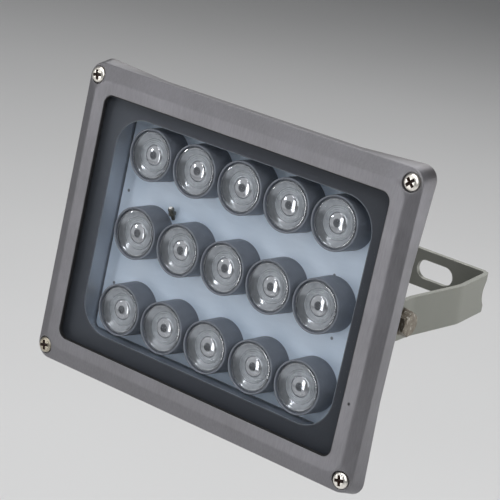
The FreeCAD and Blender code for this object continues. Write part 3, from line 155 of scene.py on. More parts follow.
class Finish:
    """A material with its shader and a few ways of adding procedural detail."""

    def __init__(self, name, **sockets):
        self.material = bpy.data.materials.new(name)
        self.material.use_nodes = True
        self.tree = self.material.node_tree
        self.shader = self.tree.nodes["Principled BSDF"]
        self.coords = self.tree.nodes.new("ShaderNodeTexCoord").outputs["Object"]
        self.normal = None
        for socket, value in sockets.items():
            self.shader.inputs[socket.replace("_", " ")].default_value = value

    def node(self, kind, **inputs):
        made = self.tree.nodes.new(kind)
        for name, value in inputs.items():
            self.feed(made.inputs[name.replace("_", " ")], value)
        return made

    def feed(self, socket, value):
        if isinstance(value, bpy.types.NodeSocket):
            self.tree.links.new(value, socket)
        else:
            socket.default_value = value

    def on_head(self):
        """Switches the patterns to the head's own millimetres."""
        mapping = self.tree.nodes.new("ShaderNodeMapping")
        mapping.vector_type = "TEXTURE"
        mapping.inputs["Location"].default_value = PIVOT
        mapping.inputs["Rotation"].default_value = (-TILT, 0, 0)
        mapping.inputs["Scale"].default_value = (MM, MM, MM)
        self.tree.links.new(self.coords, mapping.inputs["Vector"])
        self.coords = mapping.outputs["Vector"]
        return self

    def stretched(self, x, y, z):
        mapping = self.tree.nodes.new("ShaderNodeMapping")
        mapping.inputs["Scale"].default_value = (x, y, z)
        self.tree.links.new(self.coords, mapping.inputs["Vector"])
        return mapping.outputs["Vector"]

    def noise(self, size, detail=4.0, coords=None, rough=0.55):
        """Cloudy noise whose features are about size across, in the pattern's unit."""
        made = self.node("ShaderNodeTexNoise", Scale=1 / size, Detail=detail, Roughness=rough)
        self.tree.links.new(coords or self.coords, made.inputs["Vector"])
        return made.outputs["Fac"]

    def ramp(self, factor, *stops):
        made = self.tree.nodes.new("ShaderNodeValToRGB")
        self.tree.links.new(factor, made.inputs["Fac"])
        elements = made.color_ramp.elements
        while len(elements) < len(stops):
            elements.new(0.5)
        for element, (place, value) in zip(elements, stops):
            element.position = place
            element.color = value if isinstance(value, tuple) else (value, value, value, 1)
        return made.outputs["Color"]

    def mix(self, factor, first, second):
        made = self.tree.nodes.new("ShaderNodeMix")
        made.data_type = "RGBA"
        self.feed(made.inputs["Factor"], factor)
        self.feed(made.inputs[6], first)
        self.feed(made.inputs[7], second)
        return made.outputs[2]

    def math(self, operation, first, second=0.0):
        made = self.tree.nodes.new("ShaderNodeMath")
        made.operation = operation
        self.feed(made.inputs[0], first)
        self.feed(made.inputs[1], second)
        return made.outputs["Value"]

    def remap(self, value, low, high, to_low, to_high):
        made = self.node("ShaderNodeMapRange")
        self.feed(made.inputs["Value"], value)
        for name, number in (("From Min", low), ("From Max", high),
                             ("To Min", to_low), ("To Max", to_high)):
            made.inputs[name].default_value = number
        return made.outputs["Result"]

    def distance(self, point, scale=(1, 1, 1)):
        """Distance from a point in the pattern's unit."""
        made = self.tree.nodes.new("ShaderNodeVectorMath")
        made.operation = "DISTANCE"
        stretched = self.tree.nodes.new("ShaderNodeVectorMath")
        stretched.operation = "MULTIPLY"
        self.tree.links.new(self.coords, stretched.inputs[0])
        stretched.inputs[1].default_value = scale
        self.tree.links.new(stretched.outputs[0], made.inputs[0])
        made.inputs[1].default_value = [a * b for a, b in zip(point, scale)]
        return made.outputs["Value"]

    def axis(self, name):
        split = self.tree.nodes.new("ShaderNodeSeparateXYZ")
        self.tree.links.new(self.coords, split.inputs[0])
        return split.outputs[name]

    def soft_edges(self, radius, low, high):
        """Rounds edges in the shading, and gives a mask that is white on them."""
        rounded = self.tree.nodes.new("ShaderNodeBevel")
        rounded.samples = 4
        rounded.inputs["Radius"].default_value = radius * MM
        true = self.tree.nodes.new("ShaderNodeNewGeometry").outputs["Normal"]
        dot = self.tree.nodes.new("ShaderNodeVectorMath")
        dot.operation = "DOT_PRODUCT"
        self.tree.links.new(rounded.outputs["Normal"], dot.inputs[0])
        self.tree.links.new(true, dot.inputs[1])
        self.normal = rounded.outputs["Normal"]
        return self.remap(self.math("SUBTRACT", 1.0, dot.outputs["Value"]), low, high, 0.0, 1.0)

    def beyond(self, half_x, half_up, radius):
        """Distance outside a rounded rectangle about the beam; negative inside it."""
        across = self.math("SUBTRACT", self.math("ABSOLUTE", self.axis("X")), half_x - radius)
        along = self.math("SUBTRACT", self.math("ABSOLUTE", self.axis("Z")), half_up - radius)
        inside = self.math("MINIMUM", self.math("MAXIMUM", across, along), 0.0)
        side = self.math("MAXIMUM", across, 0.0)
        top = self.math("MAXIMUM", along, 0.0)
        corner = self.math("SQRT", self.math("ADD", self.math("MULTIPLY", side, side),
                                             self.math("MULTIPLY", top, top)))
        return self.math("SUBTRACT", self.math("ADD", corner, inside), radius)

    def mirror_strength(self):
        """How much a coated clear surface mirrors: nothing face on, all of it at a glance."""
        facing = self.node("ShaderNodeLayerWeight", Blend=0.5).outputs["Facing"]
        return self.math("POWER", facing, 5.0)

    def bump(self, height, strength, distance):
        made = self.node("ShaderNodeBump", Strength=strength, Distance=distance)
        self.tree.links.new(height, made.inputs["Height"])
        if self.normal:
            self.tree.links.new(self.normal, made.inputs["Normal"])
        self.normal = made.outputs["Normal"]
        return self

    def done(self, **links):
        for socket, value in links.items():
            self.tree.links.new(value, self.shader.inputs[socket.replace("_", " ")])
        if self.normal:
            self.tree.links.new(self.normal, self.shader.inputs["Normal"])
        return self.material


def head_paint():
    """Grey metallic head coat: orange peel, mottling, paler edges (wear and painted highlight), brown painted
    shade atop its back, a small pit.
    """
    made = Finish("head_paint", Roughness=0.4, Metallic=0.75).on_head()
    edge = made.soft_edges(0.7, 0.004, 0.09)
    clouds = made.noise(26.0, 3.0)
    colour = made.ramp(clouds, (0.3, srgb(118, 117, 121)), (0.7, srgb(127, 126, 131)))
    streaks = made.noise(0.5, 4.0, made.stretched(1.0, 1.0, 0.12))
    colour = made.mix(0.12, colour, made.ramp(streaks, (0.35, 0.1), (0.65, 0.3)))
    # Paler edges: partly wear, partly a painted highlight along them
    edge_wear_and_highlight = made.math("MULTIPLY", edge, made.remap(made.noise(4.0, 5.0), 0.35, 0.65, 0.2, 1.0))
    colour = made.mix(made.math("MULTIPLY", edge_wear_and_highlight, 0.4), colour, srgb(172, 170, 168))
    # Brown painted shade along the back of the frame's top wall
    above = made.remap(made.axis("Z"), *TOP_SHADE_UP, 0.0, 1.0)
    behind = made.remap(made.axis("Y"), *TOP_SHADE_BACK, 0.0, 1.0)
    painted_top_shade = made.math("MULTIPLY", made.math("MULTIPLY", above, behind), made.noise(9.0, 4.0))
    colour = made.mix(made.math("MULTIPLY", painted_top_shade, 0.7), colour, srgb(70, 62, 52))
    in_cavity = made.remap(made.beyond(CAVITY_HALF_X, CAVITY_HALF_UP, 4.0), 0.0, 0.4, 1.0, 0.0)
    ahead = made.remap(made.axis("Y"), 1 - FLOOR_FRONT, -FLOOR_FRONT, 0.0, 1.0)
    colour = made.mix(made.math("MULTIPLY", in_cavity, ahead), colour, srgb(184, 189, 196))
    pit = made.remap(made.distance(PIT, (1.0, 0.2, 0.8)), 0.25, 0.75, 1.0, 0.0)
    colour = made.mix(pit, colour, srgb(32, 31, 31))
    gloss = made.remap(made.noise(7.0, 4.0), 0.3, 0.7, 0.36, 0.44)
    made.bump(made.noise(0.55, 2.0), 0.1, 0.12 * MM)
    made.bump(made.math("SUBTRACT", 1.0, pit), 0.5, 0.2 * MM)
    return made.done(Base_Color=colour, Roughness=gloss)


def bracket_paint():
    """Greenish grey coat on the folded strap, rubbed at its edges and slots; its paler edges are partly a painted
    highlight.
    """
    made = Finish("bracket_paint", Roughness=0.45, Metallic=0.6)
    edge = made.soft_edges(0.5, 0.004, 0.09)
    clouds = made.noise(0.03, 3.0)
    colour = made.ramp(clouds, (0.3, srgb(124, 126, 119)), (0.7, srgb(134, 135, 128)))
    # Paler edges: partly wear, partly a painted highlight along them
    edge_wear_and_highlight = made.math("MULTIPLY", edge, made.remap(made.noise(0.004, 4.0), 0.35, 0.6, 0.3, 1.0))
    colour = made.mix(made.math("MULTIPLY", edge_wear_and_highlight, 0.7), colour, srgb(214, 212, 206))
    scuffs = made.noise(0.006, 6.0, made.stretched(1.0, 0.25, 4.0), 0.7)
    colour = made.mix(made.remap(scuffs, 0.62, 0.72, 0.0, 0.2), colour, srgb(110, 107, 100))
    made.bump(made.noise(0.0006, 2.0), 0.1, 0.12 * MM)
    return made.done(Base_Color=colour, Roughness=made.remap(clouds, 0.3, 0.7, 0.4, 0.5))


def plated_steel(name, light, dark, roughness):
    """Bare plated steel with a faint turned grain and tarnish."""
    made = Finish(name, Metallic=1.0, Roughness=roughness)
    clouds = made.noise(0.0022, 4.0)
    colour = made.ramp(clouds, (0.32, dark), (0.66, light))
    grain = made.noise(0.0004, 3.0, made.stretched(1.0, 1.0, 6.0))
    made.bump(grain, 0.1, 0.03 * MM)
    gloss = made.remap(clouds, 0.3, 0.7, roughness * 0.8, roughness * 1.3)
    return made.done(Base_Color=colour, Roughness=gloss)


def bolt_steel():
    """Dull grey-brown steel with bright slanting scratches from the spanner."""
    made = Finish("bolt_steel", Metallic=0.8, Roughness=0.46)
    clouds = made.noise(1.6, 4.0)
    colour = made.ramp(clouds, (0.3, srgb(98, 90, 78)), (0.7, srgb(132, 125, 114)))
    turned = made.tree.nodes.new("ShaderNodeMapping")
    turned.inputs["Rotation"].default_value = (0, 0, math.radians(35))
    turned.inputs["Scale"].default_value = (0.25, 2.2, 1.0)
    made.tree.links.new(made.coords, turned.inputs["Vector"])
    scratch = made.noise(1.1, 5.0, turned.outputs["Vector"], 0.7)
    colour = made.mix(made.remap(scratch, 0.56, 0.66, 0.0, 1.0), colour, srgb(222, 220, 212))
    made.bump(scratch, 0.2, 0.05 * MM)
    return made.done(Base_Color=colour)


def rubber():
    """Black rubber of the seals, slightly mottled."""
    made = Finish("seal_rubber", Roughness=0.62, Specular_IOR_Level=0.35)
    colour = made.ramp(made.noise(0.003), (0.3, srgb(16, 16, 17)), (0.7, srgb(27, 27, 28)))
    made.bump(made.noise(0.0005, 2.0), 0.2, 0.08 * MM)
    return made.done(Base_Color=colour)


def window_glass():
    """Clear coated glass: it lets through whatever it doesn't mirror at a glance."""
    made = Finish("window_glass", Metallic=1.0, Roughness=0.02).on_head()
    colour = made.ramp(made.noise(40.0), (0.3, srgb(236, 243, 248)), (0.7, srgb(246, 249, 250)))
    return made.done(Base_Color=colour, Alpha=made.mirror_strength())


def glass_print():
    """The dark slate band printed on the back of the glass, with painted reflection and shade across it and a thin
    painted highlight at its edge.
    """
    made = Finish("glass_print", Roughness=0.6, Specular_IOR_Level=0.12).on_head()
    # Painted reflection and shade: lighter to the left, darker to the right and towards the bottom
    across = made.remap(made.axis("X"), -PRINT_HALF_X, PRINT_HALF_X, 0.0, 1.0)
    colour = made.ramp(across, (0.0, srgb(80, 84, 91)), (0.5, srgb(70, 73, 80)),
                       (1.0, srgb(62, 65, 71)))
    lower = made.remap(made.axis("Z"), PRINT_HALF_UP, -PRINT_HALF_UP, 0.0, 0.5)
    colour = made.mix(lower, colour, srgb(44, 48, 55))
    colour = made.mix(0.08, colour, made.ramp(made.noise(0.8), (0.3, 0.01), (0.7, 0.03)))
    # A thin painted highlight along the inner edge of the print
    outside = made.beyond(WINDOW_HALF_X, WINDOW_HALF_UP, WINDOW_RADIUS)
    colour = made.mix(made.remap(outside, 0.1, 0.5, 0.7, 0.0), colour, srgb(122, 128, 136))
    return made.done(Base_Color=colour)


def board_mask():
    """Pale blue-white solder mask: faint copper lines beneath it and a few dark spots of painted shade at small
    holes.
    """
    made = Finish("board_mask", Roughness=0.4, Specular_IOR_Level=0.5).on_head()
    clouds = made.noise(30.0, 2.0)
    colour = made.ramp(clouds, (0.3, srgb(201, 218, 237)), (0.7, srgb(213, 227, 243)))
    tracks = made.noise(9.0, 3.0, made.stretched(0.35, 1.0, 1.6))
    colour = made.mix(made.remap(tracks, 0.45, 0.6, 0.0, 0.12), colour, srgb(168, 186, 206))
    # Painted shade at the board's small holes
    for x, up in BOARD_HOLE_SHADES:
        spot = made.remap(made.distance((x, -BOARD_FRONT, up)), 0.5, 0.9, 0.8, 0.0)
        colour = made.mix(spot, colour, srgb(56, 60, 66))
    made.bump(made.noise(0.8, 3.0), 0.05, 0.1 * MM)
    return made.done(Base_Color=colour)


def moulded(name, dark, light, roughness, size=0.004, grain=0.0005):
    """Moulded plastic: slight colour drift and a fine grain."""
    made = Finish(name, Roughness=roughness, Specular_IOR_Level=0.5)
    clouds = made.noise(size, 4.0)
    colour = made.ramp(clouds, (0.3, dark), (0.7, light))
    made.bump(made.noise(grain, 2.0), 0.12, 0.06 * MM)
    gloss = made.remap(clouds, 0.3, 0.7, roughness * 0.85, roughness * 1.15)
    return made.done(Base_Color=colour, Roughness=gloss)


def lens_clear():
    """Clear coated front of a lens, with a thin pale ring where it meets its holder."""
    made = Finish("lens_clear", Metallic=1.0, Roughness=0.03)
    radius = made.distance((0.0, 0.0, 0.0), (1.0, 1.0, 0.0))
    rim = made.remap(radius, 9.85, 10.05, 0.0, 1.0)
    colour = made.mix(rim, srgb(250, 250, 250), srgb(156, 158, 162))
    alpha = made.math("MAXIMUM", made.mirror_strength(), made.math("MULTIPLY", rim, 0.5))
    return made.done(Base_Color=colour, Alpha=alpha)


def lens_bowl():
    """A lens's moulded back: soft grey in the bowl, bright on the dome, dark in the middle."""
    made = Finish("lens_bowl", Metallic=0.7, Roughness=0.3)
    radius = made.distance((0.0, 0.0, 0.0), (1.0, 1.0, 0.0))
    dome = made.remap(radius, LENS_DOME - 0.1, LENS_DOME + 0.2, 1.0, 0.0)
    middle = made.remap(radius, DARK_MIDDLE - 0.2, DARK_MIDDLE + 0.2, 1.0, 0.0)
    clouds = made.noise(2.4, 4.0, made.stretched(1.0, 1.0, 0.4))
    grey = made.ramp(clouds, (0.3, srgb(138, 143, 149)), (0.7, srgb(158, 163, 169)))
    colour = made.mix(dome, grey, srgb(160, 163, 168))
    colour = made.mix(middle, colour, srgb(84, 87, 92))
    made.bump(made.noise(4.0, 0.0), 0.05, 0.2 * MM)
    gloss = made.math("MINIMUM", made.remap(dome, 0.0, 1.0, 0.32, 0.07),
                      made.remap(radius, 7.0, 8.6, 0.32, 0.14))
    return made.done(Base_Color=colour, Roughness=gloss)


def sensor_resin():
    """Smoke-tinted resin of the light sensor, with a painted highlight at its domed tip."""
    made = Finish("sensor_resin", Roughness=0.12, Coat_Weight=0.8, Coat_Roughness=0.03)
    # Painted highlight on the domed tip
    painted_tip_highlight = made.remap(made.distance((0.0, 0.0, BULB_DOME + BULB_RADIUS)), 0.7, 1.1, 1.0, 0.0)
    body = made.ramp(made.noise(0.9), (0.3, srgb(66, 66, 60)), (0.7, srgb(84, 84, 78)))
    return made.done(Base_Color=made.mix(painted_tip_highlight, body, srgb(250, 250, 248)))


def stage_floor():
    """Plain pale floor."""
    made = Finish("stage_floor", Roughness=0.6, Specular_IOR_Level=0.2)
    colour = made.ramp(made.noise(0.7, 2.0), (0.3, srgb(214, 214, 214)), (0.7, srgb(221, 221, 221)))
    return made.done(Base_Color=colour)


def make_finishes():
    """All the finishes by name. Those of the frame's pieces have the names of their slots."""
    dark = srgb(16, 17, 18)
    return {
        "head_paint": head_paint(),
        "bracket_paint": bracket_paint(),
        "bolt_steel": bolt_steel(),
        "washer_steel": plated_steel("washer_steel", srgb(150, 146, 138), srgb(104, 98, 88), 0.4),
        "screw_steel": plated_steel("screw_steel", srgb(250, 247, 240), srgb(226, 220, 210), 0.3),
        "screw_tarnish": plated_steel("screw_tarnish", srgb(214, 208, 192), srgb(120, 110, 92),
                                      0.34),
        "cross_shadow": moulded("cross_shadow", srgb(34, 20, 14), srgb(58, 36, 26), 0.6,
                                size=1.0, grain=0.2),
        "seal_rubber": rubber(),
        "window_glass": window_glass(),
        "glass_print": glass_print(),
        "board_mask": board_mask(),
        "emitter": moulded("emitter", srgb(150, 148, 120), srgb(190, 186, 150), 0.25),
        "holder_plastic": moulded("holder_plastic", srgb(96, 101, 110), srgb(108, 114, 124), 0.42,
                                  size=6.0, grain=0.5),
        "lens_clear": lens_clear(),
        "lens_bowl": lens_bowl(),
        "sensor_resin": sensor_resin(),
        "lead_metal": plated_steel("lead_metal", srgb(226, 224, 220), srgb(180, 176, 170), 0.25),
        "driver_laminate": moulded("driver_laminate", srgb(16, 68, 38), srgb(24, 88, 50), 0.4),
        "capacitor_sleeve": moulded("capacitor_sleeve", srgb(22, 26, 44), srgb(32, 38, 60), 0.3),
        "coil_core": moulded("coil_core", srgb(40, 40, 42), srgb(58, 58, 60), 0.6),
        "chip_plastic": moulded("chip_plastic", dark, srgb(28, 28, 30), 0.5),
        "terminal_plastic": moulded("terminal_plastic", srgb(14, 86, 46), srgb(20, 108, 60), 0.4),
        "lead_sheath": moulded("lead_sheath", srgb(140, 22, 20), srgb(168, 32, 28), 0.45),
        "gland_plastic": moulded("gland_plastic", dark, srgb(30, 30, 32), 0.48),
    }


def dress_frame(finishes):
    """Gives each piece of the frame the finish of its slot."""
    for part in frame["record"]["subparts"]:
        piece = nodes[part["node"]]
        piece.data.materials.clear()
        piece.data.materials.append(finishes[part["material_slot"]])


def add_piece(name, mesh, slot, place, replaced, *looks):
    """Links a mesh as a piece that rides on the head, in place of a node where one is named."""
    piece = bpy.data.objects.new(name, mesh)
    bpy.context.scene.collection.objects.link(piece)
    piece.matrix_world = place
    mesh.materials.clear()
    for look in looks:
        mesh.materials.append(look)
    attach(piece, "head")
    if replaced:
        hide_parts(replaced)
    return piece


def turned_mesh(name, profile, segments=64, smooth_angle=32):
    """Turns (radius, height) points about Z, in millimetres. A radius of 0 closes the shape."""
    mesh = bmesh.new()
    rings = []
    for radius, height in profile:
        if radius == 0:
            rings.append([mesh.verts.new((0, 0, height))])
            continue
        ring = []
        for step in range(segments):
            angle = 2 * math.pi * step / segments
            ring.append(mesh.verts.new(
                (radius * math.cos(angle), radius * math.sin(angle), height)))
        rings.append(ring)
    for lower, upper in zip(rings, rings[1:]):
        for step in range(segments):
            ahead = (step + 1) % segments
            if len(lower) == 1:
                mesh.faces.new((lower[0], upper[ahead], upper[step]))
            elif len(upper) == 1:
                mesh.faces.new((lower[step], lower[ahead], upper[0]))
            else:
                mesh.faces.new((lower[step], lower[ahead], upper[ahead], upper[step]))
    bmesh.ops.recalc_face_normals(mesh, faces=mesh.faces)
    return finish_mesh(name, mesh, smooth_angle)


def stored(name, mesh):
    """Turns a working mesh into mesh data and frees it."""
    data = bpy.data.meshes.new(name)
    mesh.to_mesh(data)
    mesh.free()
    return data


def finish_mesh(name, mesh, smooth_angle):
    """Shades a mesh smooth, apart from edges that turn more than an angle."""
    limit = math.radians(smooth_angle)
    for face in mesh.faces:
        face.smooth = True
    for edge in mesh.edges:
        if len(edge.link_faces) == 2 and edge.calc_face_angle(0.0) > limit:
            edge.smooth = False
    return stored(name, mesh)


def ringed_mesh(name, sections, smooth_angle=32):
    """Closes a skin over rings of points, all with as many points as each other."""
    mesh = bmesh.new()
    rings = [[mesh.verts.new(point) for point in section] for section in sections]
    for lower, upper in zip(rings, rings[1:]):
        for step in range(len(lower)):
            ahead = (step + 1) % len(lower)
            mesh.faces.new((lower[step], lower[ahead], upper[ahead], upper[step]))
    mesh.faces.new(reversed(rings[0]))
    mesh.faces.new(rings[-1])
    bmesh.ops.recalc_face_normals(mesh, faces=mesh.faces)
    return finish_mesh(name, mesh, smooth_angle)


def rounded_outline(half_x, half_up, radius, height, steps=12):
    """Points of a rounded rectangle at a height."""
    points = []
    corners = ((1, 1, 0), (-1, 1, 90), (-1, -1, 180), (1, -1, 270))
    for side, level, start in corners:
        for step in range(steps + 1):
            angle = math.radians(start + 90 * step / steps)
            points.append((side * (half_x - radius) + radius * math.cos(angle),
                           level * (half_up - radius) + radius * math.sin(angle), height))
    return points


def make_window(finishes):
    """The glass pane with ground edges, clear of the print on its back."""
    arris = 0.4
    sections = []
    for height, inset in ((GLASS_BACK, arris), (GLASS_BACK + arris, 0),
                          (GLASS_FRONT - arris, 0), (GLASS_FRONT, arris)):
        sections.append(rounded_outline(GLASS_HALF_X - inset, GLASS_HALF_UP - inset,
                                        GLASS_RADIUS - inset, height))
    mesh = ringed_mesh("window_pane", sections)
    add_piece("window_pane", mesh, "window_glass", head_place(0, 0, 0), "window_glass",
              finishes["window_glass"])


def arc(centre_radius, centre_height, radius, start, end, steps):
    """Profile points along an arc; angles in degrees from straight out."""
    points = []
    for step in range(steps + 1):
        angle = math.radians(start + (end - start) * step / steps)
        points.append((centre_radius + radius * math.cos(angle),
                       centre_height + radius * math.sin(angle)))
    return points


def ridge(radius, height, half_width, rise):
    """Profile points of a low rounded ridge, listed from the outside in."""
    return [(radius + half_width, height), (radius + half_width * 0.6, height + rise * 0.62),
            (radius + half_width * 0.2, height + rise), (radius - half_width * 0.2, height + rise),
            (radius - half_width * 0.6, height + rise * 0.62), (radius - half_width, height)]


def holder_profile():
    """A drafted cup with a rounded rim and a recess for the lens."""
    rim = HOLDER_RIM - BOARD_FRONT
    return ([(2.7, 0), (12.2, 0)] + arc(11.55, rim - 0.35, 0.35, 0, 90, 5)
            + arc(11.35, rim - 0.3, 0.3, 90, 180, 4)
            + [(11.0, 10.8), (9.9, 10.8), (4.6, 1.5), (2.7, 1.5), (2.7, 0)])


def lens_profile():
    """A moulded lens: front with two ridges and a shallow dish, back ringed round a flat dome."""
    face = 12.28
    front = ([(0, face - 0.4), (1.0, face - 0.36), (1.9, face - 0.22), (2.3, face - 0.08)]
             + [(2.7, face)] + ridge(6.1, face, 0.5, 0.12)[::-1] + ridge(9.2, face, 0.45, 0.12)[::-1]
             + arc(10.05, face - 0.25, 0.25, 90, 0, 4) + [(10.3, LENS_EDGE)])
    back = [(9.8, 10.85), (9.3, 10.5), (8.5, 10.15), (7.7, 9.95)]
    for radius, height in ((7.1, 9.8), (6.3, 9.7), (5.5, 9.65)):
        back.extend(ridge(radius, height, 0.3, 0.14))
    back += [(4.8, 9.7), (4.6, 9.85)]
    dome_rise, dome_top, steps = 0.43, 10.6, 6
    for step in range(steps, -1, -1):
        out = step / steps
        back.append((LENS_DOME * out, dome_top - dome_rise * out ** 2))
    return front + back


def make_lamps(finishes):
    """Fifteen lamps: a holder and the lens in it, clear in front and mirrored greyly behind."""
    for row in range(LAMP_ROWS):
        for column in range(LAMP_COLUMNS):
            x = (column - (LAMP_COLUMNS - 1) / 2) * LAMP_PITCH_X
            up = ((LAMP_ROWS - 1) / 2 - row) * LAMP_PITCH_UP
            spot = head_place(x, BOARD_FRONT, up)
            place = f"row{row + 1}_column{column + 1}"
            cup = turned_mesh(f"cup_{place}", holder_profile(), segments=72)
            add_piece(f"cup_{place}", cup, "holder_plastic", spot, f"lens_holder_{place}",
                      finishes["holder_plastic"])
            lens = turned_mesh(f"moulded_lens_{place}", lens_profile(), segments=72, smooth_angle=50)
            add_piece(f"moulded_lens_{place}", lens, "lens_clear", spot, f"lens_{place}",
                      finishes["lens_clear"], finishes["lens_bowl"])
            for polygon in lens.polygons:
                polygon.material_index = 1 if polygon.center.z < LENS_EDGE else 0


def cross_cutter():
    """A cross-shaped punch that narrows towards its tip, in millimetres from the seat."""
    mesh = bmesh.new()
    rings = []
    for height, end, half in ((SCREW_HEAD - CROSS_DEPTH, 1.5, 0.42), (SCREW_HEAD + 0.4, 2.6, 0.8)):
        ring = []
        for quarter in range(4):
            turn = Matrix.Rotation(math.pi / 2 * quarter, 3, "Z")
            for x, y in ((end, -half), (end, half), (half, half)):
                ring.append(mesh.verts.new(turn @ Vector((x, y, height))))
        rings.append(ring)
    low, high = rings
    for step in range(12):
        ahead = (step + 1) % 12
        mesh.faces.new((low[step], low[ahead], high[ahead], high[step]))
    mesh.faces.new(reversed(low))
    mesh.faces.new(high)
    bmesh.ops.recalc_face_normals(mesh, faces=mesh.faces)
    return stored("cross_cutter", mesh)


def crossed_head():
    """A low pan head on its shank, with the cross recess cut in it."""
    profile = ([(0, -SCREW_LENGTH), (1.5, -SCREW_LENGTH), (1.7, 0.2 - SCREW_LENGTH), (1.7, 0)]
               + [(3.5, 0), (3.62, 0.12)] + arc(2.6, 1.0, 1.03, 0, 55, 5)
               + [(2.9, 2.08), (2.3, 2.3), (1.4, 2.38), (0, SCREW_HEAD)])
    head = bpy.data.objects.new("head", turned_mesh("head", profile))
    cutter = bpy.data.objects.new("cutter", cross_cutter())
    for made in (head, cutter):
        bpy.context.scene.collection.objects.link(made)
    cut = head.modifiers.new("cross", "BOOLEAN")
    cut.object = cutter
    cut.operation = "DIFFERENCE"
    cut.solver = "EXACT"
    bpy.context.view_layer.update()
    shown = head.evaluated_get(bpy.context.evaluated_depsgraph_get())
    data = bpy.data.meshes.new_from_object(shown)
    for made in (head, cutter):
        bpy.data.objects.remove(made)
    data.materials.clear()
    mesh = bmesh.new()
    mesh.from_mesh(data)
    bottom = SCREW_HEAD - CROSS_DEPTH
    for face in mesh.faces:
        middle = face.calc_center_median()
        in_height = bottom - 0.2 < middle.z < SCREW_HEAD - 0.2
        in_cross = in_height and middle.xy.length < CROSS_REACH
        face.material_index = 1 if in_cross else 0
    mesh.to_mesh(data)
    mesh.free()
    return data


def make_screws(finishes):
    """Four cover screws, each turned as it was left, one of them tarnished."""
    shape = crossed_head()
    for number, (side, level, turn, tarnished) in enumerate(SCREWS):
        mesh = shape.copy()
        steel = finishes["screw_tarnish" if tarnished else "screw_steel"]
        spot = head_place(side * SCREW_X, SCREW_SEAT, level * SCREW_UP, math.radians(turn))
        add_piece(f"cover_screw_{number + 1}", mesh, "screw_steel", spot, "bezel_screws",
                  steel, finishes["cross_shadow"])
        for polygon, source in zip(mesh.polygons, shape.polygons):
            polygon.material_index = source.material_index


def bolt_mesh(name):
    """A hexagon head with its corners turned off, on a plain shank. Z points out of the head."""
    steps = 96
    angles = [2 * math.pi * step / steps for step in range(steps)]
    sections = [[(BOLT_SHANK * math.cos(angle), BOLT_SHANK * math.sin(angle), height)
                 for angle in angles] for height in (-BOLT_LENGTH, 0)]
    for height in (0, 0.2, 3.1, 3.3, 3.5, 3.7, 3.85, 3.95, BOLT_HEAD):
        ring = []
        cone = BOLT_CROWN + (BOLT_HEAD - height) * BOLT_SLOPE
        foot = BOLT_FOOT + height * BOLT_SLOPE
        for angle in angles:
            within = (angle % (math.pi / 3)) - math.pi / 6
            flat = BOLT_FLATS / 2 / math.cos(within)
            radius = min(flat, cone, foot)
            ring.append((radius * math.cos(angle), radius * math.sin(angle), height))
        sections.append(ring)
    return ringed_mesh(name, sections, 24)


def make_bolts(finishes):
    """The two hexagon bolts that the head tilts on."""
    for name, side in (("tilt_bolt_right", 1), ("tilt_bolt_left", -1)):
        out = Matrix.Rotation(side * math.pi / 2, 4, "Y")
        spot = HEAD @ Matrix.Translation(Vector((side * BOLT_SEAT, 0, 0))) @ out
        add_piece(name, bolt_mesh(name), "bolt_steel", spot, "pivot_bolts", finishes["bolt_steel"])


def make_sensor(finishes):
    """A small tinted bulb on a short sleeved stem that leans up from the board."""
    x, forward, up = SENSOR_FOOT
    spot = head_place(x, forward, up) @ Matrix.Rotation(-math.radians(SENSOR_LEAN), 4, "X")
    stem = [(0, -0.3), (0.95, -0.3), (0.95, STEM_TOP), (0, STEM_TOP)]
    bulb = [(0, STEM_TOP), (1.6, STEM_TOP), (1.75, 2.5), (1.75, 3.1), (1.65, 3.2)]
    bulb += [(BULB_RADIUS, 3.2)] + arc(0, BULB_DOME, BULB_RADIUS, 0, 90, 8)
    add_piece("sensor_stem", turned_mesh("sensor_stem", stem, 32), "lead_metal", spot,
              "sensor_leads", finishes["sensor_resin"])
    add_piece("sensor_bulb", turned_mesh("sensor_bulb", bulb, 48), "sensor_resin", spot,
              "light_sensor", finishes["sensor_resin"])


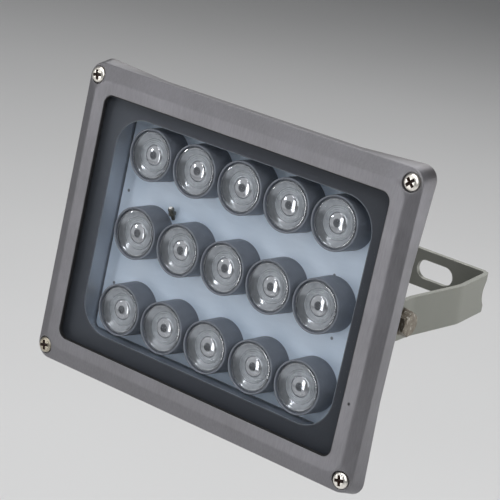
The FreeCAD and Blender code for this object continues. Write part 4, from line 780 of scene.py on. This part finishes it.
def make_camera():
    """The photo's camera, placed from the head at rest."""
    made = bpy.data.cameras.new("camera")
    made.lens = CAMERA_LENS
    made.sensor_width = CAMERA_SENSOR
    made.clip_start = 0.02
    made.clip_end = 20
    camera = bpy.data.objects.new("camera", made)
    bpy.context.scene.collection.objects.link(camera)
    turn = Matrix.Rotation(-TILT, 3, "X")
    back = turn @ -CAMERA_AHEAD
    up = turn @ CAMERA_UP
    right = up.cross(back).normalized()
    up = back.cross(right).normalized()
    camera.matrix_world = Matrix((right, up, back.normalized())).transposed().to_4x4()
    lamps = Vector((0, -HOLDER_RIM, 0))
    camera.location = HEAD @ (lamps + CAMERA_FROM_LAMPS)
    bpy.context.scene.camera = camera


def make_light(name, way, distance, width, height, radiance):
    """A soft light at a direction from the middle of the head: x, forward and up."""
    x, forward, up = way
    toward = (HEAD_TURN @ Vector((x, -forward, up))).normalized()
    middle = HEAD @ Vector((0, -HOLDER_RIM, 0))
    made = bpy.data.lights.new(name, "AREA")
    made.shape = "RECTANGLE"
    made.size = width
    made.size_y = height
    made.energy = radiance * math.pi * width * height
    light = bpy.data.objects.new(name, made)
    bpy.context.scene.collection.objects.link(light)
    light.location = middle + toward * distance
    light.rotation_euler = (-toward).to_track_quat("-Z", "Y").to_euler()


def make_stage():
    """A pale floor below the part, soft studio lights and a pale surround."""
    mesh = bmesh.new()
    bmesh.ops.create_grid(mesh, x_segments=1, y_segments=1, size=FLOOR_REACH)
    data = stored("stage_floor", mesh)
    data.materials.append(stage_floor())
    floor = bpy.data.objects.new("stage_floor", data)
    floor.location = (0, 0, FLOOR_LEVEL)
    bpy.context.scene.collection.objects.link(floor)
    for light in LIGHTS:
        make_light(*light)
    world = bpy.data.worlds.new("surround")
    world.use_nodes = True
    background = world.node_tree.nodes["Background"]
    background.inputs["Color"].default_value = SURROUND_COLOUR
    background.inputs["Strength"].default_value = SURROUND_STRENGTH
    bpy.context.scene.world = world
    bpy.context.scene.view_settings.view_transform = "Standard"


finishes = make_finishes()
dress_frame(finishes)
make_window(finishes)
make_lamps(finishes)
make_screws(finishes)
make_bolts(finishes)
make_sensor(finishes)
make_stage()
make_camera()
